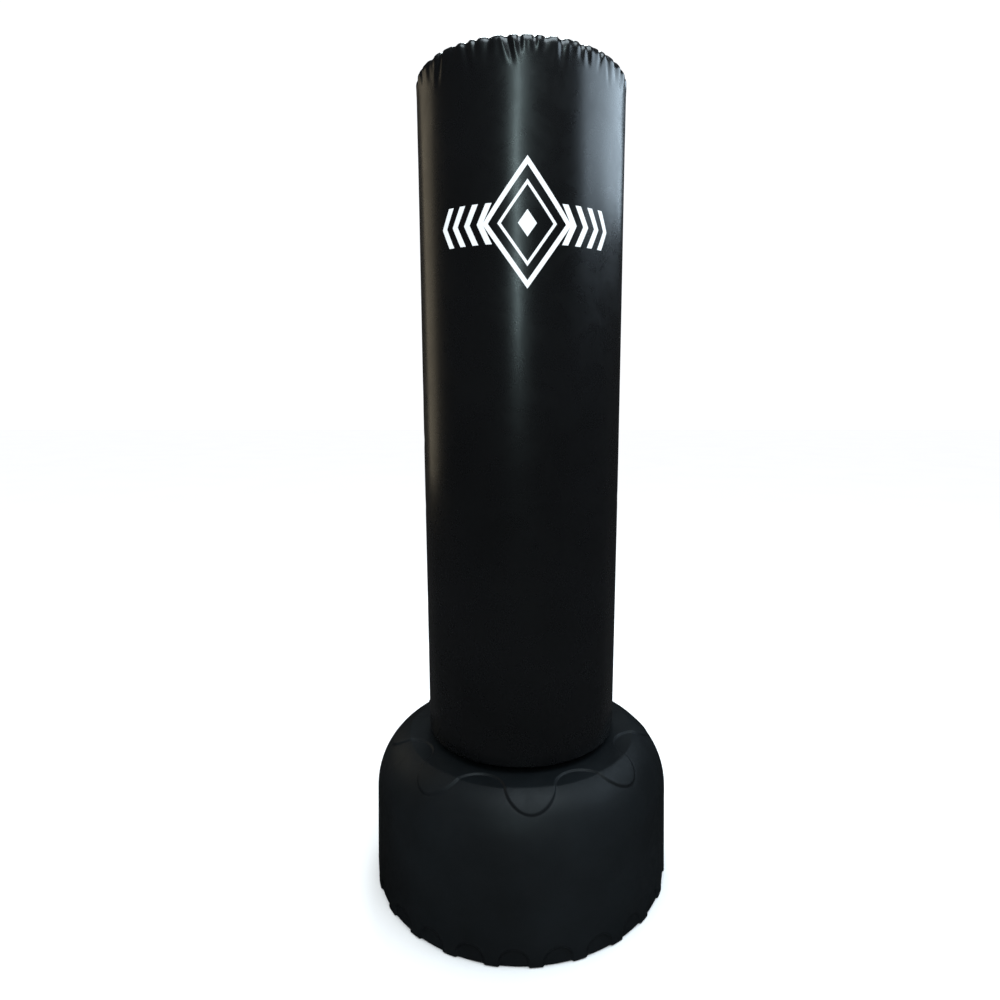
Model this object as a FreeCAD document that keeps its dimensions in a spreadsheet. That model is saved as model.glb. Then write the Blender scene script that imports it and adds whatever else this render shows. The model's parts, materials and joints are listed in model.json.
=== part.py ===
import FreeCAD, Part
import Sketcher
import math
import os

# A free standing bag: a water-filled moulded base, a padded bag in a vinyl cover, and
# the screw neck and rubber ball mount that join them. Millimetres, +Z up, the origin on
# the floor under the middle of the base, the front of the bag towards -Y.

Vector = FreeCAD.Vector
UP = Vector(0, 0, 1)
SHEET = "Sizes"

# A cutting tool runs this far past what it cuts, and faces this near a height are at it.
CUT_PAST = 1.0
NEAR = 0.1

# Threads: the angle where they start, the half widths of a ridge at its foot and its crest
# as shares of the pitch, and how deep the foot is sunk as a share of the ridge's depth.
THREAD_START = 20.0
THREAD_FOOT = 0.30
THREAD_CREST = 0.12
THREAD_SINK = 0.375
GROOVE_END = 0.6

# Socket heads: the lip round the shank and the socket's depth as shares of the head, and
# the socket's width as a share of the shank.
HEAD_LIP = 1 / 3
SOCKET_DEPTH = 0.6
SOCKET_WIDTH = 0.8

DRIVING = {
    # overall
    "overall_height": 1750,
    "bag_diameter": 430,
    "bag_gap": 13,
    # base tank
    "foot_diameter": 691,
    "wall_draft": 1.7,
    "wall_height": 221,
    "shoulder_radius": 124.7,
    "deck_height": 332.5,
    "tank_wall": 6,
    "foot_edge": 4,
    # lobes on the deck
    "lobe_count": 8,
    "lobe_turn": 4,
    "lobe_rise": 3.5,
    "lobe_reach": 43,
    # arches round the foot
    "arch_count": 24,
    "arch_turn": 12.5,
    "arch_width": 60,
    "arch_height": 39,
    "arch_depth": 4,
    # ballast
    "fill_level": 292,
    "fill_gap": 0.3,
    # filler
    "filler_turn": 184,
    "filler_tilt": 30,
    "boss_diameter": 70,
    "boss_rise": 7,
    "filler_bore": 49,
    "cap_diameter": 62,
    "cap_height": 13,
    "cap_edge": 2.4,
    "cap_plug": 17,
    "cap_wall": 3,
    "cap_pitch": 4,
    "cap_turns": 3,
    "cap_thread_depth": 1.4,
    "grip_count": 12,
    "grip_radius": 3.9,
    "grip_depth": 2.6,
    "gasket_height": 3,
    "gasket_inset": 1,
    # neck and collar
    "neck_diameter": 150,
    "neck_height": 60,
    "neck_wall": 8,
    "neck_foot": 15,
    "neck_pitch": 12,
    "neck_turns": 3,
    "neck_thread_depth": 4,
    "thread_gap": 0.8,
    "collar_wall": 15.2,
    "collar_roof": 12,
    "roof_gap": 4,
    "slip_height": 4,
    "slip_lip": 8,
    "slip_wall": 3,
    # ball mount
    "cup_floor": 8.7,
    "ball_diameter": 90,
    "ball_flat": 9,
    "ball_gap": 0.3,
    "cup_wall": 14.7,
    "cup_half_gap": 12,
    "cup_flange": 10,
    "king_diameter": 16,
    "king_sway": 5,
    "dome_wall": 16.7,
    "washer_inset": 6.7,
    "washer_rim": 10,
    "hex_step": 4,
    "king_head": 9,
    "king_nut": 12,
    "king_chamfer": 1.5,
    "bolt_count": 6,
    "bolt_diameter": 6,
    "bolt_length": 32,
    # core
    "collar_sway": 9,
    "core_wall": 6,
    "flange_height": 10,
    "flange_upstand": 25,
    "cap_spigot": 30,
    "core_cap_height": 8,
    "foot_plate": 12,
    "foot_plate_drop": 7,
    "screw_count": 8,
    "screw_diameter": 5,
    "screw_turn": 11.25,
    # padding and cover
    "firm_foam_wall": 40,
    "top_pad_height": 46,
    "cover_wall": 3,
    "cover_corner": 14,
    "cover_low_corner": 5,
    "panel_height": 2.5,
    "panel_lap": 30,
    "hem_step": 20,
    "hem_tube": 5,
    "elastic_diameter": 6,
    # clearances
    "seat_gap": 0.3,
    "groove_gap": 0.6,
    "cap_groove_gap": 0.4,
    "bolt_gap": 0.2,
    "press_gap": 0.05,
}


class Size:
    """A number together with the sheet expression that gives it."""

    def __init__(self, value, text):
        self.value = value
        self.text = text

    def join(self, other, sign, value):
        """The two sizes' expressions joined by a sign, with the value they come to."""
        return Size(value, f"({self.text} {sign} {size(other).text})")

    def __add__(self, other):
        return self.join(other, "+", self.value + size(other).value)

    def __sub__(self, other):
        return self.join(other, "-", self.value - size(other).value)

    def __mul__(self, other):
        return self.join(other, "*", self.value * size(other).value)

    def __truediv__(self, other):
        return self.join(other, "/", self.value / size(other).value)


def size(number):
    """A plain number as a Size, or the Size itself."""
    return number if isinstance(number, Size) else Size(number, repr(number))


def sine(angle):
    """The sine of an angle in degrees."""
    return Size(math.sin(math.radians(angle.value)), f"sin({angle.text})")


def cosine(angle):
    """The cosine of an angle in degrees."""
    return Size(math.cos(math.radians(angle.value)), f"cos({angle.text})")


def root(square):
    """The square root of a size."""
    return Size(math.sqrt(square.value), f"sqrt({square.text})")


def side_of(long_side, other):
    """The third side of a right-angled triangle, from its longest side and another."""
    return root(long_side * long_side - other * other)


class Arc:
    """Marks an arc between two points of an outline, about a centre.

    turn is +1 for counter-clockwise, and hold names the coordinate that places its end.
    """

    def __init__(self, centre, turn, hold):
        self.centre = centre
        self.turn = turn
        self.hold = hold


def make_sheet(doc):
    """The spreadsheet of driving dimensions, one alias a row."""
    sheet = doc.addObject("Spreadsheet::Sheet", SHEET)
    for row, (alias, number) in enumerate(DRIVING.items(), start=1):
        sheet.set(f"A{row}", alias)
        sheet.set(f"B{row}", str(number))
        sheet.setAlias(f"B{row}", alias)
    doc.recompute()
    return sheet


doc = FreeCAD.newDocument("free_standing_bag")
sheet = make_sheet(doc)


def s(alias):
    """The driving dimension of this name."""
    return Size(float(getattr(sheet, alias)), f"{SHEET}.{alias}")


# ---------------------------------------------------------------- derived sizes

foot_radius = s("foot_diameter") / 2
wall_top_radius = foot_radius - s("wall_height") * sine(s("wall_draft")) / cosine(s("wall_draft"))
shoulder_r = wall_top_radius - s("shoulder_radius") * cosine(s("wall_draft"))
shoulder_z = s("wall_height") - s("shoulder_radius") * sine(s("wall_draft"))


def shoulder_reach(offset, height):
    """Radius at which the shoulder, moved out by an offset, meets a height."""
    radius = s("shoulder_radius") + offset
    return shoulder_r + side_of(radius, height - shoulder_z)


deck_edge = shoulder_reach(0, s("deck_height"))
plateau = s("deck_height") + s("lobe_rise")
bag_radius = s("bag_diameter") / 2
bag_bottom = plateau + s("bag_gap")
bag_top = s("overall_height")

boss_radius = s("boss_diameter") / 2
neck_radius = s("neck_diameter") / 2
neck_top = plateau + s("neck_height")
slip_bottom = plateau + s("seat_gap")
slip_top = slip_bottom + s("slip_height")
collar_bottom = slip_top + s("seat_gap")
collar_roof_bottom = neck_top + s("roof_gap")
collar_top = collar_roof_bottom + s("collar_roof")
thread_crest = neck_radius + s("neck_thread_depth")
collar_radius = thread_crest + s("thread_gap") + s("collar_wall")
thread_bottom = collar_bottom + s("slip_lip") + s("neck_thread_depth")
thread_travel = s("neck_pitch") * s("neck_turns")
slip_bore = thread_crest + s("thread_gap")

ball_radius = s("ball_diameter") / 2
dish_radius = ball_radius + s("ball_gap")
pivot = collar_top + s("cup_floor") + dish_radius
cup_radius = dish_radius + s("cup_wall")
king_radius = s("king_diameter") / 2
king_hole = king_radius + s("king_sway")
foot_plate_bottom = pivot + ball_radius - s("foot_plate_drop")
foot_plate_top = foot_plate_bottom + s("foot_plate")
dome_radius = dish_radius + s("dome_wall")
dome_edge = side_of(dome_radius, foot_plate_top - pivot)
washer_sphere = dome_radius + s("seat_gap")
washer_radius = dome_edge - s("washer_inset")
washer_top = pivot + washer_sphere + s("washer_rim")
bolt_circle = (thread_crest + s("thread_gap") + collar_radius) / 2

core_bore = collar_radius + s("collar_sway")
core_radius = core_bore + s("core_wall")
flange_bottom = bag_bottom + s("cover_wall")
flange_top = flange_bottom + s("flange_height")
upstand_top = flange_bottom + s("flange_upstand") + s("flange_height")
upstand_radius = core_radius + s("core_wall") + s("seat_gap")
sleeve_top = bag_top - s("panel_height") - s("seat_gap")
pad_top = sleeve_top - s("cover_wall") - s("seat_gap")
pad_bottom = pad_top - s("top_pad_height")
core_cap_top = pad_bottom - s("seat_gap")
core_top = core_cap_top - s("core_cap_height") - s("seat_gap")
cover_bore = bag_radius - s("cover_wall")
foam_radius = cover_bore - s("seat_gap")
foam_split = core_radius + s("firm_foam_wall")
hem_radius = core_radius + s("hem_step")
foam_bottom = flange_top + s("seat_gap")


# ---------------------------------------------------------------- building tools


def bind(item, name, value):
    """Bind a property of an object to the sheet by a size's expression."""
    item.setExpression(name, size(value).text)


def origin_plane(body, role):
    """One of a body's own origin planes."""
    for feature in body.Origin.OriginFeatures:
        if feature.Role == role:
            return feature
    raise ValueError(role)


def pin(sketch, edge, end, r, z, hold):
    """Tie a point of a sketch to its distances from the sketch's origin."""
    if "r" in hold:
        if r.value == 0:
            sketch.addConstraint(Sketcher.Constraint("PointOnObject", edge, end, -2))
        else:
            number = sketch.addConstraint(Sketcher.Constraint("DistanceX", -1, 1, edge, end, r.value))
            sketch.setExpression(f"Constraints[{number}]", r.text)
    if "z" in hold:
        if z.value == 0:
            sketch.addConstraint(Sketcher.Constraint("PointOnObject", edge, end, -1))
        else:
            number = sketch.addConstraint(Sketcher.Constraint("DistanceY", -1, 1, edge, end, z.value))
            sketch.setExpression(f"Constraints[{number}]", z.text)


def add_arc(sketch, start, stop, arc):
    """Add one arc of an outline. Returns its number and the ends it starts and stops at."""
    centre = Vector(arc.centre[0].value, arc.centre[1].value, 0)
    radius = (start - centre).Length
    angles = [math.atan2(p.y - centre.y, p.x - centre.x) for p in (start, stop)]
    ends = (1, 2)
    if arc.turn < 0:
        angles.reverse()
        ends = (2, 1)
    circle = Part.Circle(centre, UP, radius)
    edge = sketch.addGeometry(Part.ArcOfCircle(circle, angles[0], angles[1]))
    pin(sketch, edge, 3, arc.centre[0], arc.centre[1], "rz")
    return edge, ends[0], ends[1]


def draw_outline(sketch, outline):
    """Draw a closed outline of points and arcs, every point tied to the sheet."""
    corners = []
    arcs = {}
    for step in outline:
        if isinstance(step, Arc):
            arcs[len(corners) - 1] = step
        else:
            corners.append(step)
    places = [Vector(r.value, z.value, 0) for r, z in corners]
    edges = []
    for k, (start, stop) in enumerate(zip(places, places[1:] + places[:1])):
        if k in arcs:
            edges.append(add_arc(sketch, start, stop, arcs[k]))
        else:
            edges.append((sketch.addGeometry(Part.LineSegment(start, stop)), 1, 2))
    for k, (edge, first, _) in enumerate(edges):
        before, _, last = edges[k - 1]
        sketch.addConstraint(Sketcher.Constraint("Coincident", before, last, edge, first))
        arrived = arcs.get((k - 1) % len(corners))
        hold = arrived.hold if arrived else "rz"
        pin(sketch, edge, first, corners[k][0], corners[k][1], hold)


def revolved(name, outline):
    """A body turned about the vertical axis from an outline of (radius, height) points."""
    body = doc.addObject("PartDesign::Body", name)
    body.Label = name
    sketch = body.newObject("Sketcher::SketchObject", f"{name}_outline")
    sketch.AttachmentSupport = [(origin_plane(body, "XZ_Plane"), "")]
    sketch.MapMode = "FlatFace"
    draw_outline(sketch, [outline_step(step) for step in outline])
    doc.recompute()
    turn = body.newObject("PartDesign::Revolution", f"{name}_turn")
    turn.Profile = sketch
    turn.ReferenceAxis = (sketch, ["V_Axis"])
    turn.Angle = 360
    doc.recompute()
    return body


def outline_step(step):
    """A step of an outline with its plain numbers made sizes."""
    if isinstance(step, Arc):
        return Arc((size(step.centre[0]), size(step.centre[1])), step.turn, step.hold)
    return (size(step[0]), size(step[1]))


def ring(name, inner, outer, low, high):
    """A plain ring, or a disc where inner is nought."""
    return revolved(name, [(inner, low), (outer, low), (outer, high), (inner, high)])


def cylinder(name, radius, height, low=0):
    """A Part cylinder on the vertical axis, bound to the sheet."""
    item = doc.addObject("Part::Cylinder", name)
    bind(item, "Radius", radius)
    bind(item, "Height", height)
    bind(item, "Placement.Base.z", low)
    return item


def boolean(kind, name, base, tool):
    """A Part boolean of two objects: Cut, Common or Fuse. It has to change the base's volume."""
    item = doc.addObject(f"Part::{kind}", name)
    item.Base = base
    item.Tool = tool
    doc.recompute()
    if abs(item.Shape.Volume - base.Shape.Volume) < 1:
        raise RuntimeError(f"{name} left its base as it was")
    return item


def feature(name, shape):
    """A Part feature that holds a shape."""
    item = doc.addObject("Part::Feature", name)
    item.Shape = shape
    return item


def around(shape, count, first=0.0):
    """Copies of a shape evenly round the vertical axis, as one compound."""
    copies = []
    for k in range(count):
        copy = shape.copy()
        copy.rotate(Vector(0, 0, 0), UP, first + k * 360.0 / count)
        copies.append(copy)
    return Part.makeCompound(copies)


def thread(name, root_radius, depth, pitch, low, high, grow=0.0):
    """A right-hand helical ridge of trapezoid section, or its groove where it is grown."""
    foot = pitch * THREAD_FOOT + grow
    crest = pitch * THREAD_CREST + grow
    helix = Part.makeHelix(pitch, high - low, root_radius)
    helix.translate(Vector(0, 0, low))
    inner = root_radius - depth * THREAD_SINK
    outer = root_radius + depth + grow
    section = Part.makePolygon(
        [
            Vector(inner, 0, low - foot),
            Vector(outer, 0, low - crest),
            Vector(outer, 0, low + crest),
            Vector(inner, 0, low + foot),
            Vector(inner, 0, low - foot),
        ]
    )
    path = Part.Wire(helix.Edges)
    ridge = path.makePipeShell([section], True, True)
    ridge.rotate(Vector(0, 0, 0), UP, THREAD_START)
    return feature(name, ridge)


def compass(turn):
    """Unit direction on the floor at an angle from the front towards +X."""
    angle = math.radians(turn)
    return Vector(math.sin(angle), -math.cos(angle), 0)


def yaw(turn):
    """Turn about the vertical that carries +X to a compass direction."""
    return turn - 90.0


# ---------------------------------------------------------------- base


def tank_outline(offset):
    """Outline of the tank's outside, moved out by an offset above the wall."""
    top = s("deck_height") + offset
    radius = s("shoulder_radius") + offset
    return [
        (0, 0),
        (foot_radius - s("foot_edge"), 0),
        Arc((foot_radius - s("foot_edge"), s("foot_edge")), 1, "z"),
        (foot_radius, s("foot_edge")),
        (
            shoulder_r + radius * cosine(s("wall_draft")),
            shoulder_z + radius * sine(s("wall_draft")),
        ),
        Arc((shoulder_r, shoulder_z), 1, "z"),
        (shoulder_reach(offset, top), top),
        (0, top),
    ]


def lobe_prism():
    """Upright prism whose rim swings out round each lobe and smoothly in round each recess."""
    count = 2 * int(s("lobe_count").value)
    step = 360.0 / count
    half_chord = deck_edge.value * math.sin(math.radians(step / 2))
    chord_middle = deck_edge.value * math.cos(math.radians(step / 2))
    lobe_apex = deck_edge.value + s("lobe_reach").value
    lobe_swing = 2 * math.atan2(lobe_apex - chord_middle, half_chord)
    recess_swing = lobe_swing - math.radians(step)
    recess_apex = chord_middle - half_chord * math.tan(recess_swing / 2)
    arcs = []
    for k in range(count):
        middle = s("lobe_turn").value + k * step
        start = compass(middle - step / 2) * deck_edge.value
        apex = compass(middle) * (recess_apex if k % 2 else lobe_apex)
        stop = compass(middle + step / 2) * deck_edge.value
        arcs.append(Part.Arc(start, apex, stop).toShape())
    prism = Part.Face(Part.Wire(arcs)).extrude(Vector(0, 0, bag_top.value / 2))
    return feature("lobe_prism", prism)


def foot_arches():
    """Tool that cuts the shallow arched recesses round the foot of the tank."""
    width = s("arch_width").value
    height = s("arch_height").value
    inside = foot_radius.value - s("arch_depth").value
    outside = foot_radius.value + s("arch_depth").value
    crown_height = height - width / 2
    corner = Vector(inside - width / 2, -width / 2, -CUT_PAST)
    block = Part.makeBox(width, width, crown_height + CUT_PAST, corner)
    across = Vector(1, 0, 0)
    crown = Part.makeCylinder(width / 2, width, Vector(inside - width / 2, 0, crown_height), across)
    arch = block.fuse(crown).removeSplitter()
    band = Part.makeCylinder(outside, 2 * height, Vector(0, 0, -height))
    band = band.cut(Part.makeCylinder(inside, 2 * height, Vector(0, 0, -height)))
    arches = around(arch, int(s("arch_count").value), yaw(s("arch_turn").value))
    return feature("foot_arches", arches.common(band))


def tank_cavity():
    """The hollow of the tank."""
    top = s("deck_height") - s("tank_wall")
    steps = cavity_side(s("tank_wall"))
    steps += [(shoulder_reach(s("tank_wall") * -1, top), top), (0, top)]
    return revolved("tank_cavity", steps)


def ballast_water():
    """The water that fills the tank to its level."""
    inner = s("tank_wall") + s("fill_gap")
    top = s("fill_level")
    steps = cavity_side(inner)
    steps += [(shoulder_reach(inner * -1, top), top), (0, top)]
    return revolved("ballast_water", steps)


def cavity_side(inner):
    """Outline inside the tank, at a distance from its outside, up to the shoulder's arc."""
    slope = sine(s("wall_draft")) / cosine(s("wall_draft"))
    radius = s("shoulder_radius") - inner
    wall_r = shoulder_r + radius * cosine(s("wall_draft"))
    wall_z = shoulder_z + radius * sine(s("wall_draft"))
    arch_radius = foot_radius - s("arch_depth") - inner
    step = s("arch_height") + s("tank_wall") * 2 - inner
    step_top = step + s("arch_depth")
    return [
        (0, inner),
        (arch_radius, inner),
        (arch_radius, step),
        (wall_r + (wall_z - step_top) * slope, step_top),
        (wall_r, wall_z),
        Arc((shoulder_r, shoulder_z), 1, "z"),
    ]


def filler_place():
    """Where the filler stands on the shoulder, with its local +Z along the screw axis."""
    tilt = math.radians(s("filler_tilt").value)
    out = compass(s("filler_turn").value)
    reach = s("shoulder_radius").value + s("lobe_rise").value
    radius = shoulder_r.value + reach * math.sin(tilt)
    height = shoulder_z.value + reach * math.cos(tilt)
    base = Vector(out.x * radius, out.y * radius, height)
    axis = Vector(out.x * math.sin(tilt), out.y * math.sin(tilt), math.cos(tilt))
    return FreeCAD.Placement(base, FreeCAD.Rotation(UP, axis))


def seat_at_filler(item, lift=0.0):
    """Give an object made about the vertical the filler's place, lifted along its axis."""
    item.Placement = filler_place() * FreeCAD.Placement(UP * lift, FreeCAD.Rotation())
    doc.recompute()
    return item


def filler_cylinder(name, radius, low, high):
    """A Part cylinder on the filler's axis, from a low to a high distance along it."""
    item = doc.addObject("Part::Cylinder", name)
    bind(item, "Radius", radius)
    bind(item, "Height", high - low)
    return seat_at_filler(item, low.value)


def filler_thread(name, grow):
    """The ridge on the filler cap's plug, or the groove in the boss."""
    depth = s("cap_thread_depth").value
    radius = (s("filler_bore") / 2 - s("thread_gap") / 2).value
    low = s("boss_rise").value - s("cap_plug").value + s("cap_pitch").value
    high = low + s("cap_pitch").value * (s("cap_turns").value - 1)
    if grow:
        low -= s("cap_pitch").value
        high += s("cap_pitch").value * 2
    return thread(name, radius, depth, s("cap_pitch").value, low, high, grow)


def base_tank():
    """The moulded tank: body, lobes, hollow, arches, and the holes for the neck and the boss."""
    low_form = revolved("low_form", tank_outline(size(0)))
    high_form = revolved("high_form", tank_outline(s("lobe_rise")))
    lobes = boolean("Common", "lobes", high_form, lobe_prism())
    form = boolean("Fuse", "form", low_form, lobes)
    form = boolean("Cut", "hollow_form", form, tank_cavity())
    deck_low = s("deck_height") - s("tank_wall") * 2
    neck_hole = cylinder("neck_hole", neck_radius + s("press_gap"), s("tank_wall") * 4, deck_low)
    form = boolean("Cut", "form_with_neck_hole", form, neck_hole)
    hole_radius = boss_radius + s("press_gap")
    hole = filler_cylinder("boss_hole", hole_radius, s("cap_plug") * -1, s("boss_diameter"))
    form = boolean("Cut", "form_with_boss_hole", form, hole)
    return boolean("Cut", "base_tank", form, foot_arches())


def neck_insert():
    """Threaded neck moulded into the deck, with a flange under it."""
    flange_high = s("deck_height") - s("tank_wall") - s("press_gap")
    flange_low = flange_high - s("tank_wall")
    bore = neck_radius - s("neck_wall")
    form = revolved(
        "neck_form",
        [
            (bore, flange_low),
            (neck_radius + s("neck_foot"), flange_low),
            (neck_radius + s("neck_foot"), flange_high),
            (neck_radius, flange_high),
            (neck_radius, neck_top),
            (0, neck_top),
            (0, neck_top - s("neck_wall")),
            (bore, neck_top - s("neck_wall")),
        ],
    )
    ridge = thread(
        "neck_thread",
        neck_radius.value,
        s("neck_thread_depth").value,
        s("neck_pitch").value,
        thread_bottom.value,
        (thread_bottom + thread_travel).value,
    )
    return boolean("Fuse", "neck_insert", form, ridge)


def filler_boss():
    """Threaded boss welded into the shoulder, open to the hollow of the tank."""
    low = s("cap_plug") * -1
    outside = filler_cylinder("boss_outside", boss_radius, low, s("boss_rise"))
    bore = filler_cylinder("boss_bore", s("filler_bore") / 2, low * 2, s("boss_diameter"))
    tube = boolean("Cut", "boss_tube", outside, bore)
    groove = seat_at_filler(filler_thread("filler_groove", s("cap_groove_gap").value))
    return boolean("Cut", "filler_boss", tube, groove)


def cap_gasket():
    """Ring between the filler cap and its boss."""
    low = s("boss_rise") + s("seat_gap")
    inner = s("filler_bore") / 2 + s("seat_gap")
    outer = s("cap_diameter") / 2 - s("gasket_inset")
    return seat_at_filler(ring("cap_gasket", inner, outer, low, low + s("gasket_height")))


def filler_cap():
    """Screw cap with a scalloped grip and a threaded plug."""
    low = s("boss_rise") + s("gasket_height") + s("seat_gap") * 2
    top = low + s("cap_height")
    radius = s("cap_diameter") / 2
    plug_radius = s("filler_bore") / 2 - s("thread_gap") / 2
    plug_low = s("boss_rise") - s("cap_plug")
    edge = s("cap_edge")
    hollow = plug_radius - s("cap_wall")
    form = revolved(
        "cap_form",
        [
            (0, low),
            (hollow, low),
            (hollow, plug_low),
            (plug_radius, plug_low),
            (plug_radius, low),
            (radius, low),
            (radius, top - edge),
            Arc((radius - edge, top - edge), 1, "r"),
            (radius - edge, top),
            (0, top),
        ],
    )
    grip_place = (radius + s("grip_radius") - s("grip_depth")).value
    scallop = Part.makeCylinder(s("grip_radius").value, 2 * top.value, Vector(grip_place, 0, 0))
    scallops = feature("grip_scallops", around(scallop, int(s("grip_count").value)))
    gripped = boolean("Cut", "gripped_cap", form, scallops)
    cap = boolean("Fuse", "filler_cap", gripped, filler_thread("cap_thread", 0.0))
    return seat_at_filler(cap)


# ---------------------------------------------------------------- neck, collar and mount


def slip_ring():
    """Washer under the collar, with a lip that holds it in the collar's mouth."""
    lip_outer = slip_bore + s("slip_wall")
    return revolved(
        "slip_ring",
        [
            (slip_bore, slip_bottom),
            (collar_radius, slip_bottom),
            (collar_radius, slip_top),
            (lip_outer, slip_top),
            (lip_outer, slip_top + s("slip_lip")),
            (slip_bore, slip_top + s("slip_lip")),
        ],
    )


def neck_collar():
    """Collar with a female thread that screws the bag onto the neck."""
    bore = neck_radius + s("thread_gap")
    mouth = slip_bore + s("slip_wall") + s("seat_gap")
    mouth_top = slip_top + s("slip_lip") + s("seat_gap")
    form = revolved(
        "collar_form",
        [
            (mouth, collar_bottom),
            (collar_radius, collar_bottom),
            (collar_radius, collar_top),
            (king_radius * 2, collar_top),
            (king_radius * 2, collar_roof_bottom),
            (bore, collar_roof_bottom),
            (bore, mouth_top),
            (mouth, mouth_top),
        ],
    )
    groove = thread(
        "collar_groove",
        neck_radius.value,
        s("neck_thread_depth").value,
        s("neck_pitch").value,
        thread_bottom.value - s("neck_pitch").value * 2,
        collar_roof_bottom.value - s("neck_pitch").value * GROOVE_END,
        s("groove_gap").value,
    )
    threaded = boolean("Cut", "threaded_collar", form, groove)
    holes = feature("collar_bolt_holes", bolt_ring(s("bolt_gap").value, CUT_PAST))
    return boolean("Cut", "neck_collar", threaded, holes)


def bolt_ring(gap, extra):
    """The ring of collar bolts, grown by a gap where it is the holes for them."""
    radius = s("bolt_diameter").value / 2
    head = s("bolt_diameter").value
    top = (collar_top + s("cup_flange") + s("seat_gap")).value
    length = s("bolt_length").value
    shank = Part.makeCylinder(radius + gap, length + extra, Vector(0, 0, top - length - extra))
    cap = Part.makeCylinder(radius + head * HEAD_LIP + gap, head, Vector(0, 0, top))
    bolt = shank.fuse(cap).removeSplitter()
    if not gap:
        socket_low = top + head * (1 - SOCKET_DEPTH)
        bolt = bolt.cut(Part.makeCylinder(radius * SOCKET_WIDTH, head, Vector(0, 0, socket_low)))
    bolt.translate(Vector(bolt_circle.value, 0, 0))
    return around(bolt, int(s("bolt_count").value))


def mount_cup():
    """Lower cup: a flange on the collar and a dish that holds the rubber ball."""
    rim = pivot - s("cup_half_gap")
    flange_top_z = collar_top + s("cup_flange")
    hole = king_radius + s("bolt_gap")
    dish_low = pivot - side_of(dish_radius, hole)
    rim_r = side_of(dish_radius, s("cup_half_gap"))
    form = revolved(
        "cup_form",
        [
            (hole, collar_top),
            (collar_radius, collar_top),
            (collar_radius, flange_top_z),
            (cup_radius, flange_top_z),
            (cup_radius, rim),
            (rim_r, rim),
            Arc((0, pivot), -1, "r"),
            (hole, dish_low),
        ],
    )
    holes = feature("cup_bolt_holes", bolt_ring(s("bolt_gap").value, CUT_PAST))
    return boolean("Cut", "mount_cup", form, holes)


def mount_ball():
    """Rubber ball with flat ends, bored for the king bolt."""
    half = ball_radius - s("ball_flat")
    end_r = side_of(ball_radius, half)
    return revolved(
        "mount_ball",
        [
            (king_hole, pivot - half),
            (end_r, pivot - half),
            Arc((0, pivot), 1, "z"),
            (end_r, pivot + half),
            (king_hole, pivot + half),
        ],
    )


def core_foot():
    """Upper cup on the ball, with the disc that carries the core tube."""
    rim = pivot + s("cup_half_gap")
    hole = king_hole
    dish_high = pivot + side_of(dish_radius, hole)
    rim_r = side_of(dish_radius, s("cup_half_gap"))
    dome_top = pivot + side_of(dome_radius, hole)
    plate_radius = core_bore - s("seat_gap")
    form = revolved(
        "foot_form",
        [
            (rim_r, rim),
            (cup_radius, rim),
            (cup_radius, foot_plate_bottom),
            (plate_radius, foot_plate_bottom),
            (plate_radius, foot_plate_top),
            (dome_edge, foot_plate_top),
            Arc((0, pivot), 1, "r"),
            (hole, dome_top),
            (hole, dish_high),
            Arc((0, pivot), -1, "z"),
        ],
    )
    holes = feature("foot_screw_holes", screw_ring(foot_screw_height(), s("bolt_gap").value))
    return boolean("Cut", "core_foot", form, holes)


def dome_washer():
    """Washer whose underside rides on the dome of the core foot."""
    hole = king_radius + s("bolt_gap")
    low_in = pivot + side_of(washer_sphere, hole)
    low_out = pivot + side_of(washer_sphere, washer_radius)
    return revolved(
        "dome_washer",
        [
            (washer_radius, low_out),
            (washer_radius, washer_top),
            (hole, washer_top),
            (hole, low_in),
            Arc((0, pivot), -1, "r"),
        ],
    )


def hexagon(across, low, high):
    """Upright hexagonal prism by its width across flats."""
    radius = across / math.sqrt(3)
    corners = [
        Vector(radius * math.cos(math.radians(60 * k)), radius * math.sin(math.radians(60 * k)), low)
        for k in range(7)
    ]
    return Part.Face(Part.makePolygon(corners)).extrude(Vector(0, 0, high - low))


def king_bolt():
    """Bolt through the cups and the ball, its head in the collar's roof."""
    head_top = collar_top.value - s("bolt_gap").value
    across = (s("king_diameter") + s("hex_step") * 2).value
    head = hexagon(across, head_top - s("king_head").value, head_top)
    top = washer_top.value + s("king_nut").value + s("king_diameter").value / 2
    shank = Part.makeCylinder(king_radius.value, top - head_top, Vector(0, 0, head_top))
    end_edges = [edge for edge in shank.Edges if edge.BoundBox.ZMin > top - NEAR]
    return feature("king_bolt", head.fuse(shank.makeChamfer(s("king_chamfer").value, end_edges)))


def king_nut():
    """Nut that holds the dome washer down."""
    low = washer_top.value + s("bolt_gap").value
    across = (s("king_diameter") + s("hex_step") * 2).value
    high = low + s("king_nut").value
    bore_radius = king_radius.value + s("bolt_gap").value / 2
    bore = Part.makeCylinder(bore_radius, high - low + 2 * CUT_PAST, Vector(0, 0, low - CUT_PAST))
    return feature("king_nut", hexagon(across, low, high).cut(bore))


# ---------------------------------------------------------------- core


def foot_screw_height():
    """Height of the screws that hold the core foot."""
    return ((foot_plate_bottom + foot_plate_top) / 2).value


def cap_screw_height():
    """Height of the screws that hold the core cap."""
    return (core_top - s("cap_spigot") / 2).value


def screw_ring(height, gap):
    """Countersunk screws driven inwards through the core tube at a height."""
    radius = s("screw_diameter").value / 2
    head_radius = radius * 2
    outside = core_radius.value - s("seat_gap").value
    inside = core_bore.value - s("core_wall").value
    outwards = Vector(1, 0, 0)
    shank = Part.makeCylinder(radius + gap, outside - inside, Vector(inside, 0, height), outwards)
    head = Part.makeCone(
        radius + gap, head_radius + gap, radius, Vector(outside - radius, 0, height), outwards
    )
    screw = shank.fuse(head).removeSplitter()
    return around(screw, int(s("screw_count").value), s("screw_turn").value)


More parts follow.
